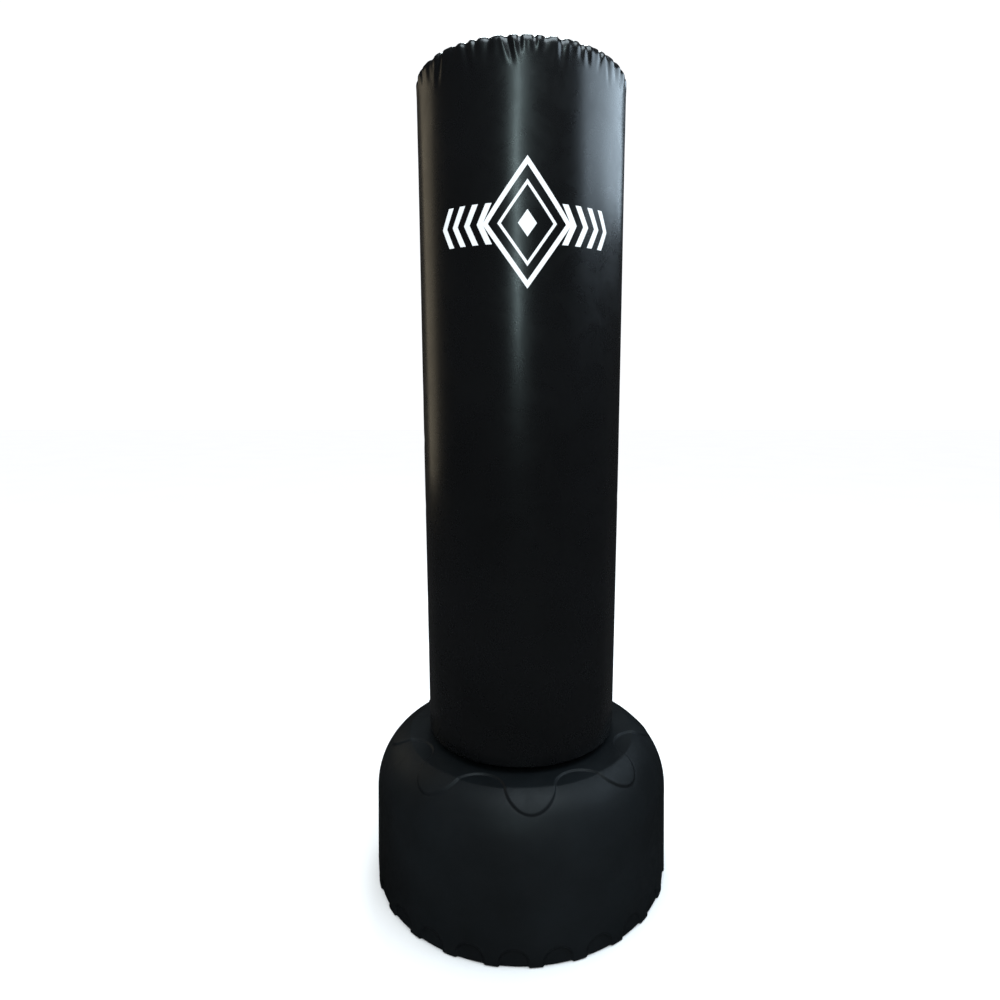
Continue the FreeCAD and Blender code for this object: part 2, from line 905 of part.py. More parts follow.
def core_tube():
    """Tube that runs the height of the bag."""
    form = ring("tube_form", core_bore, core_radius, flange_bottom + s("seat_gap"), core_top)
    gap = s("bolt_gap").value
    rings = [screw_ring(foot_screw_height(), gap).Solids, screw_ring(cap_screw_height(), gap).Solids]
    holes = feature("tube_screw_holes", Part.makeCompound(rings[0] + rings[1]))
    return boolean("Cut", "core_tube", form, holes)


def core_screws():
    """Screws of the core foot and the core cap, all alike."""
    rings = [screw_ring(foot_screw_height(), 0.0).Solids, screw_ring(cap_screw_height(), 0.0).Solids]
    return feature("core_screws", Part.makeCompound(rings[0] + rings[1]))


def core_flange():
    """Moulded ring round the foot of the core tube that carries the foam."""
    bore = core_radius + s("seat_gap")
    outer = cover_bore - s("cover_low_corner")
    hem_z = bag_bottom + s("hem_tube")
    groove = s("hem_tube") + s("seat_gap")
    reach = side_of(groove, hem_z - flange_bottom)
    return revolved(
        "core_flange",
        [
            (bore, flange_bottom),
            (hem_radius - reach, flange_bottom),
            Arc((hem_radius, hem_z), -1, "z"),
            (hem_radius + reach, flange_bottom),
            (outer, flange_bottom),
            (outer, flange_top),
            (upstand_radius, flange_top),
            (upstand_radius, upstand_top),
            (bore, upstand_top),
        ],
    )


def core_cap():
    """Disc and spigot that close the top of the core tube."""
    spigot = core_bore - s("seat_gap")
    low = core_top - s("cap_spigot")
    inner = spigot - s("core_wall")
    seat = core_top + s("seat_gap")
    form = revolved(
        "cap_disc",
        [
            (0, seat),
            (inner, seat),
            (inner, low),
            (spigot, low),
            (spigot, seat),
            (upstand_radius, seat),
            (upstand_radius, core_cap_top),
            (0, core_cap_top),
        ],
    )
    holes = feature("cap_screw_holes", screw_ring(cap_screw_height(), s("bolt_gap").value))
    return boolean("Cut", "core_cap", form, holes)


# ---------------------------------------------------------------- padding and cover


def inner_foam():
    """Firm foam round the core tube, relieved round the flange's upstand."""
    bore = core_radius + s("seat_gap")
    relief = upstand_radius + s("seat_gap")
    relief_top = upstand_top + s("seat_gap")
    return revolved(
        "inner_foam",
        [
            (relief, foam_bottom),
            (foam_split - s("seat_gap"), foam_bottom),
            (foam_split - s("seat_gap"), core_top),
            (bore, core_top),
            (bore, relief_top),
            (relief, relief_top),
        ],
    )


def outer_foam():
    """Soft foam between the firm foam and the cover."""
    return ring("outer_foam", foam_split, foam_radius, foam_bottom, core_cap_top)


def top_pad():
    """Foam disc over the core, grooved for the hem of the cover."""
    corner = s("cover_corner") - s("cover_wall")
    hem_z = sleeve_top - s("hem_tube")
    groove = s("hem_tube") + s("seat_gap")
    reach = side_of(groove, pad_top - hem_z)
    return revolved(
        "top_pad",
        [
            (0, pad_bottom),
            (foam_radius, pad_bottom),
            (foam_radius, pad_top - corner),
            Arc((foam_radius - corner, pad_top - corner), 1, "r"),
            (foam_radius - corner, pad_top),
            (hem_radius + reach, pad_top),
            Arc((hem_radius, hem_z), -1, "z"),
            (hem_radius - reach, pad_top),
            (0, pad_top),
        ],
    )


def cover_sleeve():
    """Vinyl sleeve, turned in over the top and under the bottom to its hems."""
    wall = s("cover_wall")
    corner = s("cover_corner")
    low_corner = s("cover_low_corner")
    hem = hem_radius
    sleeve = revolved(
        "sleeve_form",
        [
            (hem, bag_bottom),
            (bag_radius - low_corner, bag_bottom),
            Arc((bag_radius - low_corner, bag_bottom + low_corner), 1, "z"),
            (bag_radius, bag_bottom + low_corner),
            (bag_radius, sleeve_top - corner),
            Arc((bag_radius - corner, sleeve_top - corner), 1, "r"),
            (bag_radius - corner, sleeve_top),
            (hem, sleeve_top),
            (hem, sleeve_top - wall),
            (bag_radius - corner, sleeve_top - wall),
            Arc((bag_radius - corner, sleeve_top - corner), -1, "z"),
            (cover_bore, sleeve_top - corner),
            (cover_bore, bag_bottom + low_corner),
            Arc((bag_radius - low_corner, bag_bottom + low_corner), -1, "r"),
            (bag_radius - low_corner, bag_bottom + wall),
            (hem, bag_bottom + wall),
        ],
    )
    with_top = boolean("Fuse", "sleeve_top_hem", sleeve, hem_tube("top_hem", sleeve_top - s("hem_tube")))
    low_hem = hem_tube("bottom_hem", bag_bottom + s("hem_tube"))
    with_hems = boolean("Fuse", "sleeve_hems", with_top, low_hem)
    top_bore = hem_bore("top_hem_bore", sleeve_top - s("hem_tube"))
    bored = boolean("Cut", "sleeve_top_bore", with_hems, top_bore)
    return boolean("Cut", "cover_sleeve", bored, hem_bore("bottom_hem_bore", bag_bottom + s("hem_tube")))


def torus(name, major, minor, height):
    """A Part torus about the vertical at a height, bound to the sheet."""
    item = doc.addObject("Part::Torus", name)
    bind(item, "Radius1", major)
    bind(item, "Radius2", minor)
    bind(item, "Placement.Base.z", height)
    return item


def hem_tube(name, height):
    """The rolled hem of the cover."""
    return torus(name, hem_radius, s("hem_tube"), height)


def hem_bore(name, height):
    """The channel through a hem."""
    return torus(name, hem_radius, s("elastic_diameter") / 2 + s("bolt_gap"), height)


def hem_elastic(name, height):
    """Elastic ring sewn into a hem."""
    return torus(name, hem_radius, s("elastic_diameter") / 2, height)


def top_panel():
    """Round vinyl panel over the top of the bag."""
    radius = hem_radius + s("panel_lap")
    low = sleeve_top + s("seat_gap")
    return ring("top_panel", 0, radius, low, bag_top)


PIECES = [
    base_tank(),
    ballast_water(),
    neck_insert(),
    filler_boss(),
    cap_gasket(),
    filler_cap(),
    slip_ring(),
    neck_collar(),
    mount_cup(),
    feature("collar_bolts", bolt_ring(0.0, 0.0)),
    mount_ball(),
    core_foot(),
    dome_washer(),
    king_bolt(),
    king_nut(),
    core_tube(),
    core_screws(),
    core_flange(),
    core_cap(),
    inner_foam(),
    outer_foam(),
    top_pad(),
    cover_sleeve(),
    hem_elastic("top_hem_elastic", sleeve_top - s("hem_tube")),
    hem_elastic("bottom_hem_elastic", bag_bottom + s("hem_tube")),
    top_panel(),
]


def failed(item):
    """Whether the document reports an object as failed."""
    return any(word in item.State for word in ("Invalid", "Error"))


def write_pieces():
    """Check every object and every piece, then write each piece to its own file."""
    doc.recompute()
    broken = [item.Name for item in doc.Objects if failed(item)]
    if broken:
        raise RuntimeError(f"failed objects: {broken}")
    for piece in PIECES:
        if piece.Shape.isNull() or not piece.Shape.isValid():
            raise RuntimeError(f"bad shape: {piece.Label}")
    os.makedirs("parts", exist_ok=True)
    for piece in PIECES:
        piece.Shape.exportStep(f"parts/{piece.Label}.step")
        box = piece.Shape.BoundBox
        print(f"{piece.Label:20} {len(piece.Shape.Solids):3} {piece.Shape.Volume:14.0f}", end=" ")
        print(f"{box.ZMin:8.1f} {box.ZMax:8.1f}")


write_pieces()
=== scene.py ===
import json
import logging
import math
import random
from dataclasses import dataclass, field
from enum import Enum

import bpy
import numpy as np
from mathutils import Matrix, Vector
from mathutils.bvhtree import BVHTree
from mathutils.kdtree import KDTree


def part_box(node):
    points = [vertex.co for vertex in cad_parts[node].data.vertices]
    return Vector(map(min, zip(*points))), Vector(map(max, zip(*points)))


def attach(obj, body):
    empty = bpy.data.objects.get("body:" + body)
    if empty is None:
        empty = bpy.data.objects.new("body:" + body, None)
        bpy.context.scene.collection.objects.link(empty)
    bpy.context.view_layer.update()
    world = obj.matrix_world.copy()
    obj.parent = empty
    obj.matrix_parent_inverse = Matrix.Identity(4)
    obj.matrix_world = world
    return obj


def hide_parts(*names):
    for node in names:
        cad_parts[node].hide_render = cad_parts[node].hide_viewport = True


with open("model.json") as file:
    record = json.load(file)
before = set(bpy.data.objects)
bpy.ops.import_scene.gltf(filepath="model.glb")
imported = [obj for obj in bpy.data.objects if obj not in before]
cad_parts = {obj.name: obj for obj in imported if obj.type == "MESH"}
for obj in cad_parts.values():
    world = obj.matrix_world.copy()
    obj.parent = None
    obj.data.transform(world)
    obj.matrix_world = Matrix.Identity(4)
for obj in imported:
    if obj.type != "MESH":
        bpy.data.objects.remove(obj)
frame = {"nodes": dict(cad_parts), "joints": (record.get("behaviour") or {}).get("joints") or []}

LOG = logging.getLogger("free_standing_bag")
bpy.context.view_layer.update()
MM = 0.001
FULL_TURN = 2.0 * math.pi

Point = tuple[float, float]
Colour = tuple[float, float, float]


# --------------------------------------------------------------------------- small tools


class Body(Enum):
    """The bodies that the visible pieces move with."""

    BASE = "base"
    BAG = "bag"


class Slot(Enum):
    """The material slots that the visible pieces fill."""

    TANK = "tank_plastic"
    COVER = "cover_vinyl"
    FIRM_FOAM = "firm_foam"
    SOFT_FOAM = "soft_foam"


def deselect_all() -> None:
    """Leave object mode with nothing selected."""
    if bpy.context.object and bpy.context.object.mode != "OBJECT":
        bpy.ops.object.mode_set(mode="OBJECT")
    bpy.ops.object.select_all(action="DESELECT")


def make_active(piece: bpy.types.Object) -> None:
    """Select one object alone and make it active.

    Args:
        piece: the object to work on.
    """
    deselect_all()
    piece.select_set(True)
    bpy.context.view_layer.objects.active = piece


def apply_modifiers(piece: bpy.types.Object) -> None:
    """Apply every modifier of a piece, in order.

    Args:
        piece: the object whose modifiers are applied.
    """
    make_active(piece)
    for modifier in list(piece.modifiers):
        bpy.ops.object.modifier_apply(modifier=modifier.name)


def settle(piece: bpy.types.Object) -> None:
    """Put a piece's place into its mesh, so that its object sits at the origin.

    Args:
        piece: the object to settle.
    """
    make_active(piece)
    bpy.ops.object.transform_apply(location=True, rotation=True, scale=True)


def smooth(piece: bpy.types.Object, angle: float = 40.0) -> None:
    """Shade a piece smooth, with sharp edges over an angle.

    Args:
        piece: the object to shade.
        angle: the angle in degrees above which an edge stays sharp.
    """
    make_active(piece)
    bpy.ops.object.shade_smooth_by_angle(angle=math.radians(angle))


def coordinates(piece: bpy.types.Object) -> np.ndarray:
    """The vertices of a mesh.

    Args:
        piece: a mesh object.

    Returns:
        An array of one row per vertex.
    """
    flat = np.empty(len(piece.data.vertices) * 3)
    piece.data.vertices.foreach_get("co", flat)
    return flat.reshape(-1, 3)


def move_vertices(piece: bpy.types.Object, places: np.ndarray) -> None:
    """Give a mesh new vertex places.

    Args:
        piece: a mesh object.
        places: an array of one row per vertex.
    """
    piece.data.vertices.foreach_set("co", places.ravel())
    piece.data.update()


def polar(places: np.ndarray) -> tuple[np.ndarray, np.ndarray]:
    """Each point's distance from the vertical axis, and its angle from the front."""
    return np.hypot(places[:, 0], places[:, 1]), np.arctan2(places[:, 0], -places[:, 1])


def outwards(places: np.ndarray) -> np.ndarray:
    """The level unit direction from the vertical axis to each point."""
    reach, _ = polar(places)
    return places[:, :2] / np.maximum(reach, 1e-6)[:, None]


def from_turn(angles: np.ndarray, middle: float) -> np.ndarray:
    """Angles measured from a middle one, between minus and plus half a turn."""
    return (angles - middle + math.pi) % FULL_TURN - math.pi


def thicken(skin: bpy.types.Object, thickness: float, judge: int) -> None:
    """Face a skin away from the vertical axis and give it a thickness outwards.

    Args:
        skin: an open skin on the cover.
        thickness: its thickness.
        judge: the number of the face that tells which way the skin faces.
    """
    face = skin.data.polygons[judge]
    if face.normal.dot(Vector((face.center.x, face.center.y, 0))) < 0:
        skin.data.flip_normals()
    solid = skin.modifiers.new("thickness", "SOLIDIFY")
    solid.thickness = thickness
    solid.offset = 1.0
    apply_modifiers(skin)


def lathe(name: str, outline: list[Point], steps: int, loop: bool = True) -> bpy.types.Object:
    """Turn an outline about the vertical axis, as on a lathe.

    Args:
        name: the name of the new object.
        outline: points of (radius, height) in metres, in order.
        steps: how many steps make the full turn.
        loop: whether the outline's last point joins its first.

    Returns:
        The turned piece, closed, with its faces outwards.
    """
    deselect_all()
    first_r, first_z = outline[0]
    bpy.ops.mesh.primitive_plane_add(size=MM, location=(0, 0, 0))
    piece = bpy.context.object
    piece.name = name
    bpy.ops.object.mode_set(mode="EDIT")
    bpy.ops.mesh.select_all(action="SELECT")
    bpy.ops.mesh.merge(type="CENTER")
    bpy.ops.transform.translate(value=(first_r, 0, first_z))
    stops = outline[1:] + ([outline[0]] if loop else [])
    here = outline[0]
    for stop in stops:
        step = (stop[0] - here[0], 0, stop[1] - here[1])
        bpy.ops.mesh.extrude_region_move(TRANSFORM_OT_translate={"value": step})
        here = stop
    bpy.ops.mesh.select_all(action="SELECT")
    bpy.ops.mesh.spin(steps=steps, angle=FULL_TURN, center=(0, 0, 0), axis=(0, 0, 1))
    bpy.ops.mesh.select_all(action="SELECT")
    bpy.ops.mesh.remove_doubles(threshold=0.00002)
    bpy.ops.mesh.normals_make_consistent(inside=False)
    bpy.ops.object.mode_set(mode="OBJECT")
    return piece


def arc_points(centre: Point, radius: float, start: float, stop: float, count: int) -> list[Point]:
    """Points along an arc of an outline.

    Args:
        centre: the arc's centre.
        radius: its radius.
        start: the first angle in degrees.
        stop: the last angle in degrees.
        count: how many spans the arc has.

    Returns:
        count + 1 points.
    """
    angles = [math.radians(start + (stop - start) * k / count) for k in range(count + 1)]
    return [(centre[0] + radius * math.cos(a), centre[1] + radius * math.sin(a)) for a in angles]


def line_points(start: Point, stop: Point, spacing: float) -> list[Point]:
    """Points along a straight stretch of an outline, without its start.

    Args:
        start: where the stretch starts.
        stop: where it ends.
        spacing: the largest distance between points.

    Returns:
        The points, the last one at stop.
    """
    length = math.dist(start, stop)
    count = max(1, math.ceil(length / spacing))
    return [
        (start[0] + (stop[0] - start[0]) * k / count, start[1] + (stop[1] - start[1]) * k / count)
        for k in range(1, count + 1)
    ]


def soft_step(distance: np.ndarray, width: float) -> np.ndarray:
    """A smooth rise from 0 to 1 as a distance passes nought.

    Args:
        distance: signed distances.
        width: half the width of the rise.

    Returns:
        Values from 0 to 1.
    """
    t = np.clip(distance / (2 * width) + 0.5, 0.0, 1.0)
    return t * t * (3 - 2 * t)


def bevel(piece: bpy.types.Object, width: float, segments: int = 2, angle: float = 35.0) -> None:
    """Round a piece's sharp edges.

    Args:
        piece: the object to bevel.
        width: the bevel's width in metres.
        segments: its segments.
        angle: the smallest edge angle in degrees that is rounded.
    """
    modifier = piece.modifiers.new("edge", "BEVEL")
    modifier.width = width
    modifier.segments = segments
    modifier.limit_method = "ANGLE"
    modifier.angle_limit = math.radians(angle)
    modifier.harden_normals = False
    apply_modifiers(piece)


def join(name: str, pieces: list[bpy.types.Object]) -> bpy.types.Object:
    """Join several meshes into one object.

    Args:
        name: the joined object's name.
        pieces: the objects to join.

    Returns:
        The joined object.
    """
    deselect_all()
    for piece in pieces:
        piece.select_set(True)
    bpy.context.view_layer.objects.active = pieces[0]
    bpy.ops.object.join()
    joined = bpy.context.object
    joined.name = name
    joined.data.name = name
    return joined


# --------------------------------------------------------------------------- shader groups


def new_group(name: str, inputs: dict[str, float], outputs: list[str]) -> bpy.types.NodeTree:
    """Start a shader node group with named sockets.

    Args:
        name: the group's name.
        inputs: number inputs with their defaults. A Vector input is always added first.
        outputs: the names of the number outputs.

    Returns:
        The group's node tree.
    """
    tree = bpy.data.node_groups.new(name, "ShaderNodeTree")
    tree.interface.new_socket("Vector", in_out="INPUT", socket_type="NodeSocketVector")
    for label, value in inputs.items():
        socket = tree.interface.new_socket(label, in_out="INPUT", socket_type="NodeSocketFloat")
        socket.default_value = value
    for label in outputs:
        tree.interface.new_socket(label, in_out="OUTPUT", socket_type="NodeSocketFloat")
    tree.nodes.new("NodeGroupInput").name = "in"
    tree.nodes.new("NodeGroupOutput").name = "out"
    return tree


class Wiring:
    """Adds and links nodes of one tree."""

    def __init__(self, tree: bpy.types.NodeTree) -> None:
        """Hold the tree to work in."""
        self.tree = tree

    def add(self, kind: str, **values: object) -> bpy.types.Node:
        """Add a node.

        Args:
            kind: the node's type, without ShaderNode.
            values: properties, or inputs by name with spaces as underscores.

        Returns:
            The new node.
        """
        node = self.tree.nodes.new(f"ShaderNode{kind}")
        for key, value in values.items():
            label = key.replace("_", " ")
            if hasattr(node, key):
                setattr(node, key, value)
            elif label in node.inputs:
                node.inputs[label].default_value = value
            else:
                raise KeyError(f"{kind} has no {key}")
        return node

    def link(self, source: bpy.types.NodeSocket, target: bpy.types.NodeSocket) -> None:
        """Link two sockets."""
        self.tree.links.new(source, target)

    def math(self, operation: str, first: object, second: object = 0.5) -> bpy.types.NodeSocket:
        """Combine two values, each a socket or a number.

        Args:
            operation: the maths node's operation.
            first: the first value.
            second: the second value.

        Returns:
            The result's socket.
        """
        node = self.tree.nodes.new("ShaderNodeMath")
        node.operation = operation
        for slot, value in enumerate((first, second)):
            if isinstance(value, bpy.types.NodeSocket):
                self.link(value, node.inputs[slot])
            else:
                node.inputs[slot].default_value = value
        return node.outputs[0]

    def remap(
        self, value: bpy.types.NodeSocket, low: float, high: float, new_low: float, new_high: float
    ) -> bpy.types.NodeSocket:
        """Map one range of a value to another, clamped.

        Args:
            value: the socket to map.
            low: the low end of its range.
            high: the high end of its range.
            new_low: what the low end becomes.
            new_high: what the high end becomes.

        Returns:
            The mapped value's socket.
        """
        node = self.tree.nodes.new("ShaderNodeMapRange")
        self.link(value, node.inputs["Value"])
        ends = (("From Min", low), ("From Max", high), ("To Min", new_low), ("To Max", new_high))
        for label, number in ends:
            node.inputs[label].default_value = number
        return node.outputs["Result"]


def build_grain_group() -> bpy.types.NodeTree:
    """Pebbled grain of coated cloth: cells broken up by noise.

    Returns:
        A group with a Height and a Cells output.
    """
    tree = new_group("pebbled_grain", {"Scale": 600.0, "Breakup": 0.4}, ["Height", "Cells"])
    w = Wiring(tree)
    source, out = tree.nodes["in"], tree.nodes["out"]
    cells = w.add("TexVoronoi", feature="DISTANCE_TO_EDGE")
    w.link(source.outputs["Vector"], cells.inputs["Vector"])
    w.link(source.outputs["Scale"], cells.inputs["Scale"])
    noise = w.add("TexNoise", Detail=3.0, Roughness=0.6)
    w.link(source.outputs["Vector"], noise.inputs["Vector"])
    w.link(w.math("MULTIPLY", source.outputs["Scale"], 0.35), noise.inputs["Scale"])
    pebbles = w.remap(cells.outputs["Distance"], 0.0, 0.35, 0.0, 1.0)
    broken = w.math("MULTIPLY", noise.outputs["Fac"], source.outputs["Breakup"])
    w.link(w.math("ADD", pebbles, broken), out.inputs["Height"])
    w.link(pebbles, out.inputs["Cells"])
    return tree


def build_mottle_group() -> bpy.types.NodeTree:
    """Slow variation over a surface, for colour and roughness, with finer smudges.

    Returns:
        A group with a Slow and a Smudge output.
    """
    tree = new_group("mottle", {"Scale": 4.0, "Stretch": 1.0}, ["Slow", "Smudge"])
    w = Wiring(tree)
    source, out = tree.nodes["in"], tree.nodes["out"]
    slow = w.add("TexNoise", Detail=4.0, Roughness=0.55)
    w.link(source.outputs["Vector"], slow.inputs["Vector"])
    w.link(source.outputs["Scale"], slow.inputs["Scale"])
    smudge = w.add("TexNoise", Detail=6.0, Roughness=0.7, Distortion=0.6)
    w.link(source.outputs["Vector"], smudge.inputs["Vector"])
    w.link(w.math("MULTIPLY", source.outputs["Scale"], 4.7), smudge.inputs["Scale"])
    lifted = w.math("MULTIPLY", smudge.outputs["Fac"], source.outputs["Stretch"])
    w.link(slow.outputs["Fac"], out.inputs["Slow"])
    w.link(w.remap(lifted, 0.45, 0.75, 0.0, 1.0), out.inputs["Smudge"])
    return tree


def build_scratch_group() -> bpy.types.NodeTree:
    """Fine scuffs: thin streaks of noise stretched one way.

    Returns:
        A group with a Scuff output.
    """
    tree = new_group("scuffs", {"Scale": 30.0, "Amount": 0.5}, ["Scuff"])
    w = Wiring(tree)
    source, out = tree.nodes["in"], tree.nodes["out"]
    stretch = w.add("Mapping")
    stretch.inputs["Scale"].default_value = (1.0, 1.0, 0.08)
    stretch.inputs["Rotation"].default_value = (0.5, 0.3, 0.2)
    w.link(source.outputs["Vector"], stretch.inputs["Vector"])
    streaks = w.add("TexNoise", Detail=8.0, Roughness=0.8)
    w.link(stretch.outputs["Vector"], streaks.inputs["Vector"])
    w.link(source.outputs["Scale"], streaks.inputs["Scale"])
    thin = w.remap(streaks.outputs["Fac"], 0.62, 0.7, 0.0, 1.0)
    w.link(w.math("MULTIPLY", thin, source.outputs["Amount"]), out.inputs["Scuff"])
    return tree


# --------------------------------------------------------------------------- finishes


@dataclass(frozen=True)
class Finish:
    """A surface finish: colours, gloss and relief, all varied over the surface.

    Attributes:
        name: the material's name.
        dark: the darker colour.
        light: the lighter colour.
        rough_low: roughness of the smoothest places.
        rough_high: roughness of the roughest places.
        metallic: how metallic it is.
        grain_scale: cells per metre of the relief.
        grain_depth: depth of the relief in metres.
        breakup: how much noise breaks the cells.
        mottle_scale: scale of the slow variation.
        scuff: how strongly scuffs show.
        coat: weight of a clear coat.
        coat_rough: roughness of that coat.
        sheen: weight of a cloth sheen.
        specular: specular level.
    """

    name: str
    dark: Colour
    light: Colour
    rough_low: float
    rough_high: float
    metallic: float = 0.0
    grain_scale: float = 600.0
    grain_depth: float = 0.00006
    breakup: float = 0.4
    mottle_scale: float = 5.0
    scuff: float = 0.3
    coat: float = 0.0
    coat_rough: float = 0.3
    sheen: float = 0.0
    specular: float = 0.5

    def build(self, groups: dict[str, bpy.types.NodeTree]) -> bpy.types.Material:
        """Make the material.

        Args:
            groups: the shared shader groups by name.

        Returns:
            The material.
        """
        material = bpy.data.materials.new(self.name)
        material.use_nodes = True
        w = Wiring(material.node_tree)
        shader = material.node_tree.nodes["Principled BSDF"]
        shader.inputs["Metallic"].default_value = self.metallic
        shader.inputs["Coat Weight"].default_value = self.coat
        shader.inputs["Coat Roughness"].default_value = self.coat_rough
        shader.inputs["Sheen Weight"].default_value = self.sheen
        shader.inputs["Specular IOR Level"].default_value = self.specular
        place = w.add("TexCoord").outputs["Object"]
        mottle = self.group(w, groups["mottle"], place, Scale=self.mottle_scale, Stretch=1.0)
        scuffs = self.group(w, groups["scuffs"], place, Scale=26.0, Amount=self.scuff)
        grain = self.group(
            w, groups["pebbled_grain"], place, Scale=self.grain_scale, Breakup=self.breakup
        )
        tone = w.math("ADD", mottle.outputs["Slow"], scuffs.outputs["Scuff"])
        mix = w.add("Mix", data_type="RGBA")
        w.link(w.remap(tone, 0.3, 1.0, 0.0, 1.0), mix.inputs["Factor"])
        mix.inputs[6].default_value = (*self.dark, 1.0)
        mix.inputs[7].default_value = (*self.light, 1.0)
        w.link(mix.outputs[2], shader.inputs["Base Color"])
        worn = w.math("ADD", mottle.outputs["Smudge"], scuffs.outputs["Scuff"])
        rough = w.remap(worn, 0.0, 1.2, self.rough_low, self.rough_high)
        w.link(rough, shader.inputs["Roughness"])
        bump = w.add("Bump", Strength=1.0, Distance=self.grain_depth)
        w.link(grain.outputs["Height"], bump.inputs["Height"])
        w.link(bump.outputs["Normal"], shader.inputs["Normal"])
        return material

    @staticmethod
    def group(
        w: Wiring, tree: bpy.types.NodeTree, place: bpy.types.NodeSocket, **values: float
    ) -> bpy.types.Node:
        """Place a shared group in a material.

        Args:
            w: the material's wiring.
            tree: the group's tree.
            place: the coordinates it reads.
            values: its inputs.

        Returns:
            The group node.
        """
        node = w.tree.nodes.new("ShaderNodeGroup")
        node.node_tree = tree
        w.link(place, node.inputs["Vector"])
        for label, value in values.items():
            node.inputs[label].default_value = value
        return node


VINYL = Finish(
    "cover_vinyl", (0.0020, 0.0023, 0.0027), (0.0045, 0.0050, 0.0060), 0.27, 0.40,
    grain_scale=900.0, grain_depth=0.00002, mottle_scale=3.0, scuff=0.12, coat=0.3, coat_rough=0.2,
)
PANEL_VINYL = Finish(
    "panel_vinyl", (0.004, 0.0045, 0.0055), (0.01, 0.011, 0.013), 0.28, 0.46,
    grain_scale=900.0, grain_depth=0.00004, mottle_scale=6.0, scuff=0.2, coat=0.2, coat_rough=0.25,
)
TANK_PLASTIC = Finish(
    "tank_plastic", (0.0034, 0.0046, 0.0055), (0.008, 0.0112, 0.0138), 0.45, 0.62,
    grain_scale=700.0, grain_depth=0.00004, breakup=0.9, mottle_scale=4.0, scuff=0.2, specular=0.22,
)
CAP_PLASTIC = Finish(
    "cap_plastic", (0.01, 0.011, 0.012), (0.022, 0.024, 0.026), 0.36, 0.55,
    grain_scale=900.0, grain_depth=0.00003, mottle_scale=20.0, scuff=0.4,
)
COLLAR_PLASTIC = Finish(
    "collar_plastic", (0.02, 0.02, 0.022), (0.035, 0.035, 0.038), 0.4, 0.6,
    grain_scale=800.0, grain_depth=0.00003, mottle_scale=12.0,
)
CORE_PLASTIC = Finish(
    "core_plastic", (0.06, 0.06, 0.065), (0.09, 0.09, 0.095), 0.45, 0.65,
    grain_scale=500.0, grain_depth=0.00004, mottle_scale=9.0,
)
MOUNT_RUBBER = Finish(
    "mount_rubber", (0.015, 0.015, 0.015), (0.03, 0.03, 0.03), 0.7, 0.9,
    grain_scale=700.0, grain_depth=0.00005, mottle_scale=18.0,
)
STEEL = Finish(
    "zinc_steel", (0.42, 0.42, 0.43), (0.6, 0.6, 0.6), 0.25, 0.45, metallic=1.0,
    grain_scale=1500.0, grain_depth=0.00001, mottle_scale=60.0,
)
FIRM_FOAM = Finish(
    "firm_foam", (0.16, 0.16, 0.17), (0.24, 0.24, 0.25), 0.85, 0.98,
    grain_scale=350.0, grain_depth=0.0006, breakup=1.0, mottle_scale=7.0, sheen=0.15,
)
SOFT_FOAM = Finish(
    "soft_foam", (0.3, 0.3, 0.31), (0.42, 0.42, 0.43), 0.88, 0.99,
    grain_scale=280.0, grain_depth=0.0008, breakup=1.0, mottle_scale=6.0, sheen=0.2,
)
WATER = Finish(
    "ballast_water", (0.12, 0.2, 0.22), (0.2, 0.3, 0.32), 0.05, 0.12,
    grain_scale=20.0, grain_depth=0.0005, mottle_scale=3.0, scuff=0.0,
)
PRINT_INK = Finish(
    "print_ink", (0.72, 0.74, 0.75), (0.86, 0.87, 0.88), 0.35, 0.55,
    grain_scale=900.0, grain_depth=0.00005, mottle_scale=14.0, scuff=0.15,
)
THREAD = Finish(
    "sewing_thread", (0.02, 0.02, 0.022), (0.05, 0.05, 0.055), 0.6, 0.8,
    grain_scale=2500.0, grain_depth=0.0001, mottle_scale=50.0, sheen=0.3,
)
ELASTIC = Finish(
    "hem_elastic", (0.02, 0.02, 0.02), (0.04, 0.04, 0.04), 0.7, 0.85,
    grain_scale=1800.0, grain_depth=0.0001, mottle_scale=40.0,
)
FLOOR = Finish(
    "pale_floor", (0.93, 0.93, 0.93), (0.96, 0.96, 0.96), 0.6, 0.75,
    grain_scale=60.0, grain_depth=0.00005, mottle_scale=1.5, scuff=0.0, specular=0.0,
)

NODE_FINISHES: dict[str, Finish] = {
    "ballast_water": WATER,
    "neck_insert": COLLAR_PLASTIC,
    "filler_boss": TANK_PLASTIC,
    "cap_gasket": MOUNT_RUBBER,
    "filler_cap": CAP_PLASTIC,
    "slip_ring": CORE_PLASTIC,
    "neck_collar": COLLAR_PLASTIC,
    "mount_cup": COLLAR_PLASTIC,
    "collar_bolts": STEEL,
    "mount_ball": MOUNT_RUBBER,
    "core_foot": CORE_PLASTIC,
    "dome_washer": STEEL,
    "king_bolt": STEEL,
    "king_nut": STEEL,
    "core_tube": CORE_PLASTIC,
    "core_screws": STEEL,
    "core_flange": CORE_PLASTIC,
    "core_cap": CORE_PLASTIC,
    "top_hem_elastic": ELASTIC,
    "bottom_hem_elastic": ELASTIC,
}


class Paintbox:
    """Builds each finish once and dresses pieces in them."""

    def __init__(self) -> None:
        """Build the shared groups."""
        self.groups = {
            "pebbled_grain": build_grain_group(),
            "mottle": build_mottle_group(),
            "scuffs": build_scratch_group(),
        }
        self.materials: dict[str, bpy.types.Material] = {}

    def dress(self, piece: bpy.types.Object, finish: Finish) -> None:
        """Give a piece one finish all over.

        Args:
            piece: the object.
            finish: its finish.
        """
        if finish.name not in self.materials:
            self.materials[finish.name] = finish.build(self.groups)
        if not piece.data.materials:
            piece.data.materials.append(None)
        for slot in range(len(piece.data.materials)):
            piece.data.materials[slot] = self.materials[finish.name]


# --------------------------------------------------------------------------- base


